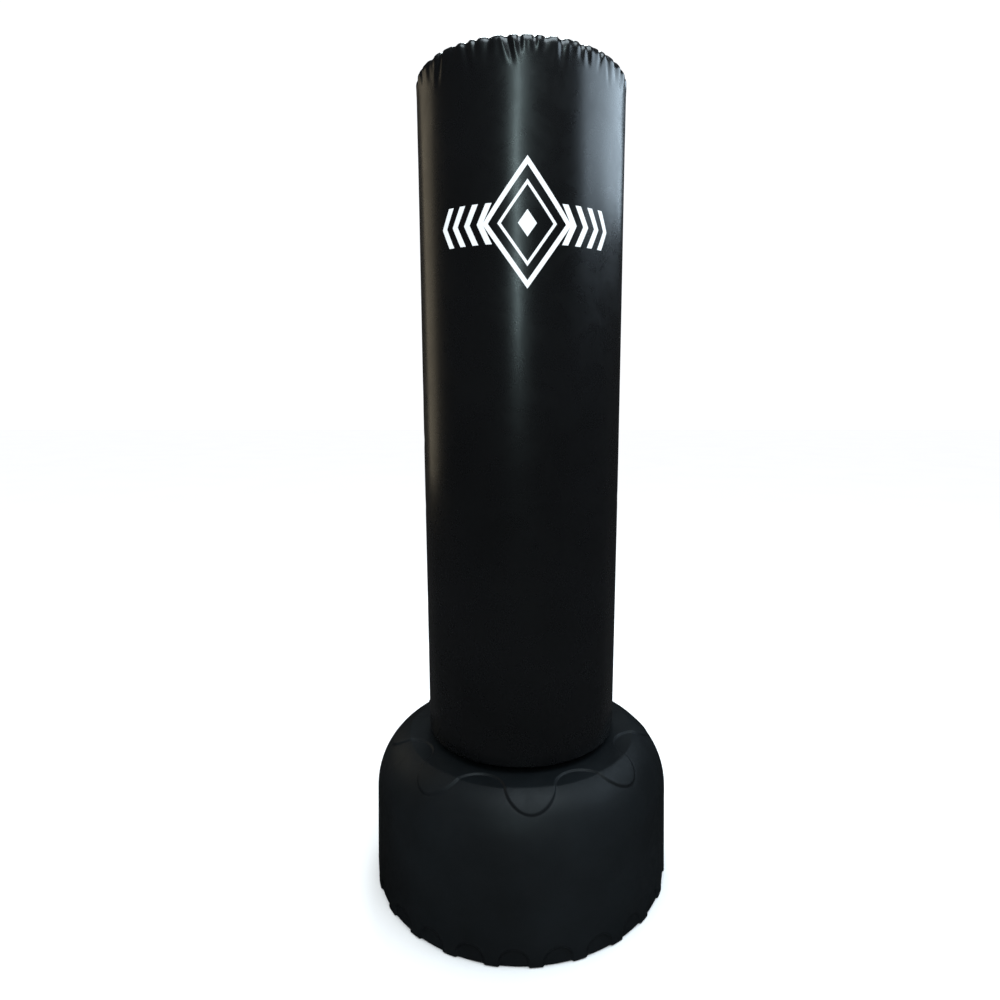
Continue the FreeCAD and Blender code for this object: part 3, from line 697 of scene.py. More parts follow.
@dataclass
class BaseTank:
    """The moulded tank: shoulder, deck with raised lobes, and arches round its foot.

    Attributes:
        foot_radius: radius at the floor.
        wall_height: height where the wall meets the shoulder.
        draft: slope of the wall in degrees.
        shoulder: radius of the shoulder's arc.
        deck: height of the low part of the deck.
        wall: wall thickness.
        lobes: number of lobes.
        lobe_turn: angle of the first lobe from the front.
        lobe_rise: how far the lobes stand up.
        lobe_reach: how far they reach past the deck's edge.
        arches: number of arches.
        arch_turn: angle of the first arch from the front.
        arch_width: width of an arch.
        arch_height: height of an arch.
        arch_depth: depth of an arch.
        neck_radius: radius of the hole for the neck.
        centre: middle of the shoulder's arc, out from the axis and up.
        foot_edge: radius of the edge at the floor.
        lobe_low: angle on the shoulder's arc below which no lobe reaches.
        lobe_edge: half the width of the lobes' rim.
        arch_edge: half the width of the arches' rim.
        groove_place: how far outside the lobes' rim the fine groove runs.
        groove_width: its width.
        groove_depth: its depth.
        steps: steps of the lathe.
    """

    foot_radius: float = 0.3455
    wall_height: float = 0.221
    draft: float = 1.7
    shoulder: float = 0.1247
    deck: float = 0.3325
    wall: float = 0.006
    lobes: int = 8
    lobe_turn: float = 4.0
    lobe_rise: float = 0.0035
    lobe_reach: float = 0.043
    arches: int = 24
    arch_turn: float = 12.5
    arch_width: float = 0.060
    arch_height: float = 0.039
    arch_depth: float = 0.004
    neck_radius: float = 0.0752
    foot_edge: float = 0.004
    lobe_low: float = 41.5
    lobe_edge: float = 0.0014
    arch_edge: float = 0.0011
    groove_place: float = 0.0022
    groove_width: float = 0.0012
    groove_depth: float = 0.0003
    steps: int = 800
    centre: Point = field(init=False)

    def __post_init__(self) -> None:
        """Work out the centre of the shoulder's arc."""
        top = self.foot_radius - self.wall_height * math.tan(math.radians(self.draft))
        self.centre = (
            top - self.shoulder * math.cos(math.radians(self.draft)),
            self.wall_height - self.shoulder * math.sin(math.radians(self.draft)),
        )

    def deck_edge(self, radius: float, height: float) -> float:
        """Radius at which the shoulder's arc meets a height.

        Args:
            radius: the arc's radius.
            height: the height.

        Returns:
            The radius from the middle of the base.
        """
        return self.centre[0] + math.sqrt(radius**2 - (height - self.centre[1]) ** 2)

    def outline(self) -> list[Point]:
        """The tank's wall as a closed outline, outside first.

        Returns:
            The points, starting on the floor.
        """
        edge = self.foot_edge
        foot = self.foot_radius
        slope = math.tan(math.radians(self.draft))
        edge_r = self.deck_edge(self.shoulder, self.deck)
        stop_angle = math.degrees(math.atan2(self.deck - self.centre[1], edge_r - self.centre[0]))
        points = [(self.neck_radius, 0.0), (0.2, 0.0), (0.31, 0.0), (0.334, 0.0)]
        points += arc_points((foot - edge, edge), edge, -90, 0, 4)
        arch_top = self.arch_height + 0.006
        arch_r = foot - arch_top * slope
        points += line_points(points[-1], (arch_r, arch_top), 0.0021)
        points += line_points(points[-1], (foot - self.wall_height * slope, self.wall_height), 0.03)
        points += arc_points(self.centre, self.shoulder, self.draft, self.lobe_low, 9)[1:]
        points += arc_points(self.centre, self.shoulder, self.lobe_low, stop_angle, 36)[1:]
        points += line_points(points[-1], (0.216, self.deck), 0.0017)
        points += line_points(points[-1], (self.neck_radius, self.deck), 0.04)
        inner = self.shoulder - self.wall
        roof = self.deck - self.wall
        points.append((self.neck_radius, roof))
        inner_edge = self.deck_edge(inner, roof)
        inner_stop = math.degrees(math.atan2(roof - self.centre[1], inner_edge - self.centre[0]))
        points += arc_points(self.centre, inner, inner_stop, self.draft, 6)
        low_r = foot - self.arch_depth - self.wall
        points += [(low_r + 0.003, self.arch_height + 0.012), (low_r, self.arch_height + 0.006)]
        points += [(low_r, self.wall), (self.neck_radius, self.wall)]
        return points

    def lobe_distance(self, x: np.ndarray, y: np.ndarray) -> np.ndarray:
        """Signed distance to the winding rim of the raised lobes, positive inside it.

        Args:
            x: places along X.
            y: places along Y.

        Returns:
            The distances in metres.
        """
        half = math.pi / (2 * self.lobes)
        edge = self.deck_edge(self.shoulder, self.deck)
        chord, middle = edge * math.sin(half), edge * math.cos(half)
        apex = edge + self.lobe_reach
        swing = 2 * math.atan2(apex - middle, chord)
        inner_swing = swing - 2 * half
        inner_apex = middle - chord * math.tan(inner_swing / 2)
        out_radius = chord / math.sin(swing)
        in_radius = chord / math.sin(inner_swing)
        turn = np.arctan2(x, -y) - math.radians(self.lobe_turn)
        reach = np.hypot(x, y)

        def to_circle(first: float, centre: float, radius: float) -> np.ndarray:
            """Distance inside the nearest of a ring of circles."""
            off = (turn - first + 2 * half) % (4 * half) - 2 * half
            across, along = reach * np.sin(off), reach * np.cos(off)
            return radius - np.hypot(across, along - centre)

        lobe = to_circle(0.0, apex - out_radius, out_radius)
        recess = to_circle(2 * half, inner_apex + in_radius, in_radius)
        return np.maximum(np.minimum(edge - reach, -recess), lobe)

    def arch_distance(self, turn: np.ndarray, height: np.ndarray) -> np.ndarray:
        """Signed distance to the outline of the nearest arch, positive inside it.

        Args:
            turn: angles from the front, in radians.
            height: heights in metres.

        Returns:
            The distances in metres.
        """
        pitch = FULL_TURN / self.arches
        off = (turn - math.radians(self.arch_turn) + pitch / 2) % pitch - pitch / 2
        across = np.abs(off) * self.foot_radius
        half = self.arch_width / 2
        above = np.maximum(height - (self.arch_height - half), 0.0)
        return half - np.hypot(across, above)

    def build(self) -> bpy.types.Object:
        """Turn the tank, then raise its lobes and press in its arches.

        Returns:
            The tank.
        """
        tank = lathe("base_tank_shell", self.outline(), self.steps)
        co = coordinates(tank)
        reach, turn = polar(co)
        unit = outwards(co)
        from_centre = np.stack([reach - self.centre[0], co[:, 2] - self.centre[1]], axis=1)
        arc_length = np.hypot(from_centre[:, 0], from_centre[:, 1])
        on_shoulder = (np.abs(arc_length - self.shoulder) < 0.0004) & (co[:, 2] > self.wall_height)
        on_deck = (np.abs(co[:, 2] - self.deck) < 0.0002) & (reach > self.neck_radius - 0.001)
        distance = self.lobe_distance(co[:, 0], co[:, 1])
        groove = np.exp(-(((distance + self.groove_place) / self.groove_width) ** 2)) * self.groove_depth
        lift = self.lobe_rise * soft_step(distance, self.lobe_edge) - groove
        out = np.where(on_shoulder & ~on_deck, from_centre[:, 0] / np.maximum(arc_length, 1e-6), 0.0)
        up = np.where(on_shoulder & ~on_deck, from_centre[:, 1] / np.maximum(arc_length, 1e-6), 1.0)
        lift = np.where(on_shoulder | on_deck, lift, 0.0)
        co[:, :2] += unit * (out * lift)[:, None]
        co[:, 2] += up * lift
        outside = (reach > self.foot_radius - 0.0062) & (co[:, 2] < self.arch_height + 0.008)
        dent = self.arch_depth * soft_step(self.arch_distance(turn, co[:, 2]), self.arch_edge)
        co[:, :2] -= unit * np.where(outside, dent, 0.0)[:, None]
        move_vertices(tank, co)
        smooth(tank, 60.0)
        return tank


@dataclass
class BossFillet:
    """The moulded flare that runs the filler's boss into the shoulder.

    Attributes:
        inside: its radius against the boss.
        outside: its radius where it meets the shoulder.
        top: how far up the boss it reaches.
        dip: how far below the shoulder its hollow curve starts.
        sunk: how far it reaches into the shoulder.
        shares: where the curve's points lie between its outside and its inside.
    """

    inside: float = 0.0351
    outside: float = 0.039
    top: float = 0.0012
    dip: float = 0.0045
    sunk: float = 0.014
    shares: tuple[float, ...] = (0.0, 0.25, 0.5, 0.75, 0.92)

    def build(self, place: Matrix) -> bpy.types.Object:
        """Turn the flare and set it on the shoulder.

        Args:
            place: the filler's place, with +Z along its axis.

        Returns:
            The flare.
        """
        reach = self.outside - self.inside
        outline = [(self.inside, -self.sunk), (self.outside, -self.sunk)]
        outline += [
            (self.outside - share * reach, self.top * share - (1 - share) ** 2 * self.dip)
            for share in self.shares
        ]
        outline.append((self.inside, self.top))
        flare = lathe("boss_fillet", outline, 96)
        flare.data.transform(place)
        smooth(flare, 50.0)
        return flare


def filler_place() -> Matrix:
    """The filler's place on the shoulder, read from the cap's joint.

    Returns:
        A matrix whose +Z is the screw's axis.
    """
    joint = next(j for j in frame["joints"] if j["name"] == "cap_turn")
    axis = Vector(joint["axis"]).normalized()
    return Matrix.Translation(Vector(joint["pos_m"])) @ axis.to_track_quat("Z", "Y").to_matrix().to_4x4()


# --------------------------------------------------------------------------- cover


@dataclass
class RimCloth:
    """Cloth physics of the sleeve where its top is drawn in over the rim.

    The sleeve is cut as a straight tube, so its top has more cloth than the rim has room
    for, and the spare cloth settles into pleats.

    Attributes:
        frames: how many frames it settles for.
        spare: share by which the tube is cut wider at the rim.
        spare_height: how far below the rim the tube begins to widen.
        stretch: resistance to stretching and squeezing.
        bending: resistance to bending.
        held_height: height of the band that is held at the foot of the cloth.
    """

    frames: int = 26
    spare: float = 0.06
    spare_height: float = 0.055
    stretch: float = 60.0
    bending: float = 0.9
    held_height: float = 0.02

    def cut_shape(self, places: np.ndarray, radius: float, run: np.ndarray) -> np.ndarray:
        """Where each point of the cloth lies in the straight tube it is cut as.

        Args:
            places: the points, folded over the rim.
            radius: the tube's radius.
            run: distance below the rim along the cloth, negative past it.

        Returns:
            The points of the tube.
        """
        reach = np.maximum(np.hypot(places[:, 0], places[:, 1]), 1e-6)
        grown = np.clip(1.0 - run / self.spare_height, 0.0, 1.0)
        wide = radius * (1.0 + self.spare * grown * grown)
        height = places[:, 2].max() - run
        return np.stack([places[:, 0] / reach * wide, places[:, 1] / reach * wide, height], axis=1)

    def settle(self, cloth: bpy.types.Object, run: np.ndarray, radius: float) -> np.ndarray:
        """Let the cloth settle.

        Args:
            cloth: the open sheet, folded over the rim with its pleats begun.
            run: distance below the rim along the cloth of each vertex.
            radius: the tube's radius.

        Returns:
            The settled places of its vertices.
        """
        make_active(cloth)
        places = coordinates(cloth)
        cloth.shape_key_add(name="folded")
        cut = cloth.shape_key_add(name="cut")
        cut.data.foreach_set("co", self.cut_shape(places, radius, run).ravel())
        cut.value = 0.0
        held = cloth.vertex_groups.new(name="held")
        ends = (run <= run.min() + 0.0005) | (run >= run.max() - self.held_height)
        held.add([int(k) for k in np.flatnonzero(ends)], 1.0, "REPLACE")
        modifier = cloth.modifiers.new("settling", "CLOTH")
        settings = modifier.settings
        settings.quality = 7
        settings.mass = 0.25
        settings.tension_stiffness = self.stretch
        settings.compression_stiffness = self.stretch
        settings.shear_stiffness = self.stretch / 3
        settings.bending_stiffness = self.bending
        settings.tension_damping = settings.compression_damping = 12.0
        settings.shear_damping = 12.0
        settings.bending_damping = 1.5
        settings.air_damping = 6.0
        settings.effector_weights.gravity = 0.0
        settings.vertex_group_mass = held.name
        settings.rest_shape_key = cut
        modifier.collision_settings.use_collision = False
        modifier.point_cache.frame_start = 1
        modifier.point_cache.frame_end = self.frames
        scene = bpy.context.scene
        for number in range(1, self.frames + 1):
            scene.frame_set(number)
        settled = cloth.evaluated_get(bpy.context.evaluated_depsgraph_get())
        flat = np.empty(len(places) * 3)
        settled.data.vertices.foreach_get("co", flat)
        scene.frame_set(1)
        return flat.reshape(-1, 3)


@dataclass
class Cover:
    """The vinyl cover, turned in over the rim in gathered pleats.

    Attributes:
        radius: outside radius.
        bottom: height of its lower end.
        top: height of its upper end.
        wall: thickness.
        rim: radius of the upper corner.
        low_rim: radius of the lower corner.
        hem: radius of the hems' inner edges.
        panel: radius of the panel that presses on the pleats.
        cloth_low: height at which the gathered part starts.
        steps: steps of the lathe.
        pleats: number of pleats.
        seed: seed of the pleats' variety.
        pleat_lengths: shortest and longest pleat.
        pleat_depths: shallowest and deepest pleat.
        pleat_widths: narrowest and widest pleat.
        pleat_slant: the most a pleat slants.
        pleat_stray: the most a pleat strays from its even place, as a share of the pitch.
        begun_share: how deep the pleats are begun before the cloth settles.
        wave_count: number of slow ripples.
        wave_height: height of each.
        crease_count: number of faint creases.
        crease_depth: depth of each.
        crease_width: width of each.
        out_cap: the furthest a pleat may stand out.
        in_cap: the furthest it may sink in.
    """

    radius: float = 0.215
    bottom: float = 0.349
    top: float = 1.7472
    wall: float = 0.003
    rim: float = 0.018
    low_rim: float = 0.005
    hem: float = 0.134
    panel: float = 0.164
    cloth_low: float = 1.62
    steps: int = 600
    pleats: int = 50
    seed: int = 7
    pleat_lengths: tuple[float, float] = (0.030, 0.074)
    pleat_depths: tuple[float, float] = (0.0030, 0.0072)
    pleat_widths: tuple[float, float] = (0.0040, 0.0064)
    pleat_slant: float = 0.30
    pleat_stray: float = 0.36
    begun_share: float = 0.75
    wave_count: int = 14
    wave_height: float = 0.00022
    crease_count: int = 16
    crease_depth: float = 0.0007
    crease_width: float = 0.009
    out_cap: float = 0.0035
    in_cap: float = 0.0085

    def outer_outline(self) -> list[Point]:
        """The gathered part of the outside, from the side over the rim to the hem.

        Returns:
            The points.
        """
        high = (self.radius - self.rim, self.top - self.rim)
        points = [(self.radius, self.cloth_low)]
        points += line_points(points[-1], (self.radius, high[1]), 0.0045)
        points += arc_points(high, self.rim, 0, 90, 8)[1:]
        points += line_points(points[-1], (self.hem + 0.003, self.top), 0.004)
        return points

    def outline(self) -> list[Point]:
        """The cover's wall as a closed outline.

        Returns:
            The points, from the lower hem outwards and up.
        """
        low = (self.radius - self.low_rim, self.bottom + self.low_rim)
        high = (self.radius - self.rim, self.top - self.rim)
        points = [(self.hem, self.bottom)]
        points += line_points(points[-1], (low[0], self.bottom), 0.03)
        points += arc_points(low, self.low_rim, -90, 0, 4)[1:]
        points += line_points(points[-1], (self.radius, self.cloth_low), 0.021)
        points += self.outer_outline()[1:]
        points += [(self.hem, self.top - 0.0015), (self.hem + 0.003, self.top - self.wall)]
        points += line_points(points[-1], (high[0], self.top - self.wall), 0.04)
        points += arc_points(high, self.rim - self.wall, 90, 0, 3)[1:]
        inner = self.radius - self.wall
        points += line_points(points[-1], (inner, low[1]), 0.5)
        points += arc_points(low, self.low_rim - self.wall, 0, -90, 2)[1:]
        points.append((self.hem + 0.002, self.bottom + self.wall))
        return points

    def run_below_rim(self, co: np.ndarray) -> tuple[np.ndarray, np.ndarray, np.ndarray]:
        """Where points lie along the cover's outside, and which way it faces there.

        Args:
            co: the points.

        Returns:
            The distance below the middle of the rim, negative past it, and the parts of
            the facing that point outwards and upwards.
        """
        reach = np.hypot(co[:, 0], co[:, 1])
        corner_r, corner_z = self.radius - self.rim, self.top - self.rim
        side = self.rim * math.pi / 4
        bend = np.arctan2(co[:, 2] - corner_z, reach - corner_r)
        below, past = co[:, 2] < corner_z, reach <= corner_r
        run = np.where(past, -side - (corner_r - reach), side - self.rim * bend)
        run = np.where(below, side + corner_z - co[:, 2], run)
        outward = np.where(below, 1.0, np.where(past, 0.0, np.cos(bend)))
        upward = np.where(below, 0.0, np.where(past, 1.0, np.sin(bend)))
        return run, outward, upward

    def pleat_field(self, turn: np.ndarray, run: np.ndarray, reach: np.ndarray) -> np.ndarray:
        """How far the begun pleats push the cover outwards.

        Args:
            turn: angles from the front, in radians.
            run: distance below the rim along the surface, negative on top.
            reach: radius of each place.

        Returns:
            Outward moves in metres.
        """
        rng = random.Random(self.seed)
        moved = np.zeros_like(turn)
        pitch = FULL_TURN / self.pleats
        for k in range(self.pleats):
            where = k * pitch + rng.uniform(-self.pleat_stray, self.pleat_stray) * pitch
            length = rng.uniform(*self.pleat_lengths)
            depth = rng.uniform(*self.pleat_depths)
            width = rng.uniform(*self.pleat_widths)
            slant = rng.uniform(-self.pleat_slant, self.pleat_slant)
            off = from_turn(turn, where)
            across = off * reach - slant * np.maximum(run, 0.0)
            below = np.clip(1.0 - np.maximum(run, 0.0) / length, 0.0, 1.0) ** 1.3
            valley = -np.exp(-((np.abs(across) / width) ** 1.6))
            swell = 0.35 * np.exp(-(((np.abs(across) - 2.0 * width) / width) ** 2))
            moved += depth * (valley + swell) * below
        return moved

    def ripple_field(self, turn: np.ndarray, height: np.ndarray) -> np.ndarray:
        """Slow ripples and faint creases of the stretched vinyl.

        Args:
            turn: angles from the front, in radians.
            height: heights in metres.

        Returns:
            Outward moves in metres.
        """
        rng = random.Random(self.seed + 1)
        moved = np.zeros_like(turn)
        for _ in range(self.wave_count):
            waves = rng.randint(2, 15)
            rise = rng.uniform(0.6, 3.2)
            phase = rng.uniform(0.0, FULL_TURN)
            moved += self.wave_height * np.sin(waves * turn + rise * height * 2.0 + phase)
        for _ in range(self.crease_count):
            level = rng.uniform(self.bottom + 0.06, self.top - 0.12)
            middle = rng.uniform(0.0, FULL_TURN)
            spread = rng.uniform(0.25, 0.7)
            tilt = rng.uniform(-0.02, 0.02)
            off = from_turn(turn, middle)
            line = height - level - tilt * off
            across = np.exp(-((line / self.crease_width) ** 2))
            moved -= self.crease_depth * across * np.exp(-((off / spread) ** 2))
        return moved

    def push(self, co: np.ndarray, move: np.ndarray) -> np.ndarray:
        """Move points along the way the cover faces.

        Args:
            co: the points.
            move: how far each moves outwards.

        Returns:
            The moved points.
        """
        _, outward, upward = self.run_below_rim(co)
        moved = co.copy()
        moved[:, :2] += outwards(co) * (outward * move)[:, None]
        moved[:, 2] += upward * move
        return moved

    def gathered(self) -> tuple[np.ndarray, np.ndarray]:
        """The gathered part's pleats: begun, then settled as cloth.

        Returns:
            Its plain places, and how far each one moves.
        """
        sheet = lathe("rim_cloth", self.outer_outline(), self.steps, loop=False)
        plain_places = coordinates(sheet)
        reach, turn = polar(plain_places)
        run, _, _ = self.run_below_rim(plain_places)
        begun = self.pleat_field(turn, run, reach)
        begun *= np.clip((reach - self.hem - 0.003) / 0.01, 0.0, 1.0)
        move_vertices(sheet, self.push(plain_places, begun * self.begun_share))
        moves = RimCloth().settle(sheet, run, self.radius) - plain_places
        bpy.data.objects.remove(sheet)
        return plain_places, self.capped(plain_places, moves)

    def capped(self, co: np.ndarray, moves: np.ndarray) -> np.ndarray:
        """Limit how far the cloth moves, and keep it under the top panel.

        Args:
            co: the plain places.
            moves: the move of each.

        Returns:
            The limited moves.
        """
        _, outward, upward = self.run_below_rim(co)
        reach, _ = polar(co)
        facing = np.concatenate([outwards(co) * outward[:, None], upward[:, None]], axis=1)
        out = np.sum(moves * facing, axis=1)
        along = moves - facing * out[:, None]
        below = (self.top - co[:, 2]) / self.rim
        out_cap = np.where(reach < self.panel, 0.0002, self.out_cap * np.clip(below, 0.15, 1.0))
        in_cap = self.in_cap * np.clip(below, 0.35, 1.0)
        out = np.where(out > 0, out_cap * np.tanh(out / out_cap), in_cap * np.tanh(out / in_cap))
        length = np.maximum(np.linalg.norm(along, axis=1), 1e-9)
        along *= (self.in_cap * np.tanh(length / self.in_cap) / length)[:, None]
        return facing * out[:, None] + along

    def build(self) -> bpy.types.Object:
        """Turn the cover and gather its rim.

        Returns:
            The cover.
        """
        places, moves = self.gathered()
        tree = KDTree(len(places))
        for number, place in enumerate(places):
            tree.insert(place, number)
        tree.balance()
        cover = lathe("bag_cover", self.outline(), self.steps)
        co = coordinates(cover)
        reach, turn = polar(co)
        low_fade = np.clip((co[:, 2] - self.bottom) / 0.03, 0.0, 1.0)
        top_fade = np.clip((self.cloth_low + 0.02 - co[:, 2]) / 0.06, 0.0, 1.0)
        ripple = self.ripple_field(turn, co[:, 2]) * low_fade * (0.3 + 0.7 * top_fade)
        moved = self.push(co, np.where(reach > self.radius - self.wall / 2, ripple, 0.0))
        for number in np.flatnonzero(co[:, 2] > self.cloth_low - 0.001):
            _, nearest, gap = tree.find(co[number])
            if gap < 0.0001:
                moved[number] += moves[nearest]
        move_vertices(cover, moved)
        smooth(cover, 80.0)
        return cover


@dataclass
class BackSeam:
    """The lapped seam down the back of the cover, with two rows of stitches.

    Attributes:
        radius: radius of the cover.
        low: height of its lower end.
        high: height of its upper end.
        width: width of the lap.
        thickness: how far the lap stands out.
        stitch_pitch: distance between stitches.
    """

    radius: float = 0.215
    low: float = 0.356
    high: float = 1.69
    width: float = 0.026
    thickness: float = 0.0012
    stitch_pitch: float = 0.0065

    def build_lap(self) -> bpy.types.Object:
        """Make the lap as a bent strip.

        Returns:
            The lap.
        """
        deselect_all()
        bpy.ops.mesh.primitive_grid_add(x_subdivisions=8, y_subdivisions=140, size=1.0)
        lap = bpy.context.object
        lap.name = "cover_seam_lap"
        co = coordinates(lap)
        turn = math.pi + co[:, 0] * self.width / self.radius
        reach = self.radius + 0.0004
        height = self.low + (co[:, 1] + 0.5) * (self.high - self.low)
        bent = np.stack([np.sin(turn) * reach, -np.cos(turn) * reach, height], axis=1)
        move_vertices(lap, bent)
        make_active(lap)
        bpy.ops.object.mode_set(mode="EDIT")
        bpy.ops.mesh.select_all(action="SELECT")
        bpy.ops.mesh.normals_make_consistent(inside=False)
        bpy.ops.object.mode_set(mode="OBJECT")
        thicken(lap, self.thickness, len(lap.data.polygons) // 2)
        bevel(lap, 0.0004, 2, 60.0)
        smooth(lap, 50.0)
        return lap

    def build_stitches(self) -> bpy.types.Object:
        """Make both rows of stitches.

        Returns:
            The stitches, as one object.
        """
        rows = []
        count = int((self.high - self.low - 0.01) / self.stitch_pitch)
        for side in (-1, 1):
            turn = math.pi + side * (self.width / 2 - 0.004) / self.radius
            reach = self.radius + 0.0004 + self.thickness
            place = (math.sin(turn) * reach, -math.cos(turn) * reach, self.low + 0.006)
            deselect_all()
            bpy.ops.mesh.primitive_uv_sphere_add(segments=8, ring_count=6, radius=0.5, location=place)
            stitch = bpy.context.object
            stitch.scale = (0.0009, 0.0008, self.stitch_pitch * 0.78)
            settle(stitch)
            array = stitch.modifiers.new("row", "ARRAY")
            array.count = count
            array.use_relative_offset = False
            array.use_constant_offset = True
            array.constant_offset_displace = (0, 0, self.stitch_pitch)
            apply_modifiers(stitch)
            rows.append(stitch)
        stitches = join("cover_seam_stitches", rows)
        smooth(stitches)
        return stitches


@dataclass
class TopPanel:
    """The round panel over the top of the bag, with a bound edge and a ring of stitches.

    Attributes:
        radius: its radius.
        low: height of its underside.
        high: height of its rim.
        crown: how far its middle stands above its rim.
        stitches: number of stitches round it.
    """

    radius: float = 0.160
    low: float = 1.7475
    high: float = 1.7500
    crown: float = 0.003
    stitches: int = 150

    def build(self) -> bpy.types.Object:
        """Turn the panel with its bound edge.

        Returns:
            The panel.
        """
        inner = self.radius - 0.012
        points = [(0.0, self.low), (self.radius - 0.0012, self.low)]
        points += arc_points((self.radius - 0.0014, self.low + 0.0014), 0.0014, -80, 90, 6)
        points += [(inner + 0.001, self.low + 0.0028), (inner - 0.0006, self.low + 0.0017)]
        for k in range(1, 15):
            share = 1 - k / 14
            points.append(((inner - 0.003) * share, self.high - 0.0004 + self.crown * (1 - share**2)))
        panel = lathe("top_panel_vinyl", points, 256)
        co = coordinates(panel)
        reach, turn = polar(co)
        pucker = 0.0006 * np.sin(41 * turn) * np.exp(-(((reach - self.radius + 0.02) / 0.02) ** 2))
        co[:, 2] += np.where(co[:, 2] > self.low + 0.001, pucker, 0.0)
        move_vertices(panel, co)
        smooth(panel, 60.0)
        return panel

    def build_stitches(self) -> bpy.types.Object:
        """Make the ring of stitches inside the bound edge.

        Returns:
            The stitches, as one object.
        """
        reach = self.radius - 0.008
        length = FULL_TURN * reach / self.stitches
        deselect_all()
        bpy.ops.mesh.primitive_uv_sphere_add(
            segments=8, ring_count=6, radius=0.5, location=(reach, 0, self.low + 0.0029)
        )
        stitch = bpy.context.object
        stitch.scale = (0.0009, length * 0.75, 0.0008)
        settle(stitch)
        stitch.name = "top_panel_stitches"
        base = coordinates(stitch)
        make_active(stitch)
        array = stitch.modifiers.new("ring", "ARRAY")
        array.count = self.stitches
        array.use_relative_offset = False
        apply_modifiers(stitch)
        copies = []
        for k in range(self.stitches):
            angle = FULL_TURN * k / self.stitches
            c, s = math.cos(angle), math.sin(angle)
            turned = base.copy()
            turned[:, 0] = c * base[:, 0] - s * base[:, 1]
            turned[:, 1] = s * base[:, 0] + c * base[:, 1]
            copies.append(turned)
        move_vertices(stitch, np.concatenate(copies))
        smooth(stitch)
        return stitch


@dataclass
class PrintedTarget:
    """A plain printed striking target: nested diamonds between slanted bars.

    Attributes:
        turn: angle of its middle from the front, in degrees.
        height: height of its middle.
        radius: radius of the cover it is printed on.
        film: thickness of the ink.
        slim: width of the diamonds as a share of their height.
        diamonds: half heights of the diamonds' outer and inner edges.
        bar_count: bars on each side.
        bar_pitch: distance between bars.
        bar_thickness: width of a bar.
        bar_height: half the height of a bar.
        bar_lean: how far a bar's middle stands out from its ends.
        bar_start: where the first bar stands.
    """

    turn: float = 3.0
    height: float = 1.426
    radius: float = 0.215
    film: float = 0.00025
    slim: float = 0.73
    diamonds: tuple[tuple[float, float], ...] = ((0.116, 0.101), (0.076, 0.067), (0.024, 0.0))
    bar_count: int = 4
    bar_pitch: float = 0.027
    bar_thickness: float = 0.012
    bar_height: float = 0.036
    bar_lean: float = 0.018
    bar_start: float = 0.066

    def patches(self) -> list[list[Point]]:
        """The quarters and bars of the target as four-cornered patches.

        Returns:
            Patches of four (across, up) corners in metres, counter-clockwise.
        """
        found: list[list[Point]] = []
        for outer, inner in self.diamonds:
            rim, core = self.diamond(outer), self.diamond(inner)
            if inner:
                found += [[core[k], rim[k], rim[k - 3], core[k - 3]] for k in range(4)]
            else:
                found.append(rim)
        for side in (-1, 1):
            for k in range(self.bar_count):
                left = side * (self.bar_start + k * self.bar_pitch)
                wide, lean = side * self.bar_thickness, side * self.bar_lean
                for way in (-1, 1):
                    tip = way * self.bar_height
                    bar = [(left + lean, 0.0), (left + lean + wide, 0.0), (left + wide, tip), (left, tip)]
                    found.append(bar if side * way > 0 else bar[::-1])
        return found

    def diamond(self, half: float) -> list[Point]:
        """The corners of a diamond.

        Args:
            half: half its height.

        Returns:
            Its corners, counter-clockwise from the right.
        """
        wide = half * self.slim
        return [(wide, 0.0), (0.0, half), (-wide, 0.0), (0.0, -half)]

    def build(self, cover: bpy.types.Object) -> bpy.types.Object:
        """Lay the target on the cover as a thin film of ink.

        Args:
            cover: the cover it is printed on.

        Returns:
            The print.
        """
        pieces = [self.patch(corners) for corners in self.patches()]
        target = join("printed_target", pieces)
        surface = BVHTree.FromObject(cover, bpy.context.evaluated_depsgraph_get())
        co = coordinates(target)
        for k, (across, _, up) in enumerate(co):
            angle = math.radians(self.turn) + across / self.radius
            out = Vector((math.sin(angle), -math.cos(angle), 0.0))
            height = self.height + up
            hit = surface.ray_cast(out * 0.4 + Vector((0, 0, height)), -out)[0]
            reach = Vector((hit.x, hit.y, 0)).length + 0.00012
            co[k] = out * reach + Vector((0, 0, height))
        move_vertices(target, co)
        thicken(target, self.film, 0)
        smooth(target, 40.0)
        return target

    def patch(self, corners: list[Point]) -> bpy.types.Object:
        """One flat patch of ink, divided finely enough to bend.

        Args:
            corners: its four corners.

        Returns:
            The patch, standing in the XZ plane.
        """
        deselect_all()
        bpy.ops.mesh.primitive_plane_add(size=1.0)
        piece = bpy.context.object
        order = (0, 1, 3, 2)
        for vertex, corner in zip((piece.data.vertices[k] for k in order), corners):
            vertex.co = (corner[0], 0.0, corner[1])
        bpy.ops.object.mode_set(mode="EDIT")
        bpy.ops.mesh.select_all(action="SELECT")
        bpy.ops.mesh.subdivide(number_cuts=15)
        bpy.ops.object.mode_set(mode="OBJECT")
        return piece


# --------------------------------------------------------------------------- padding


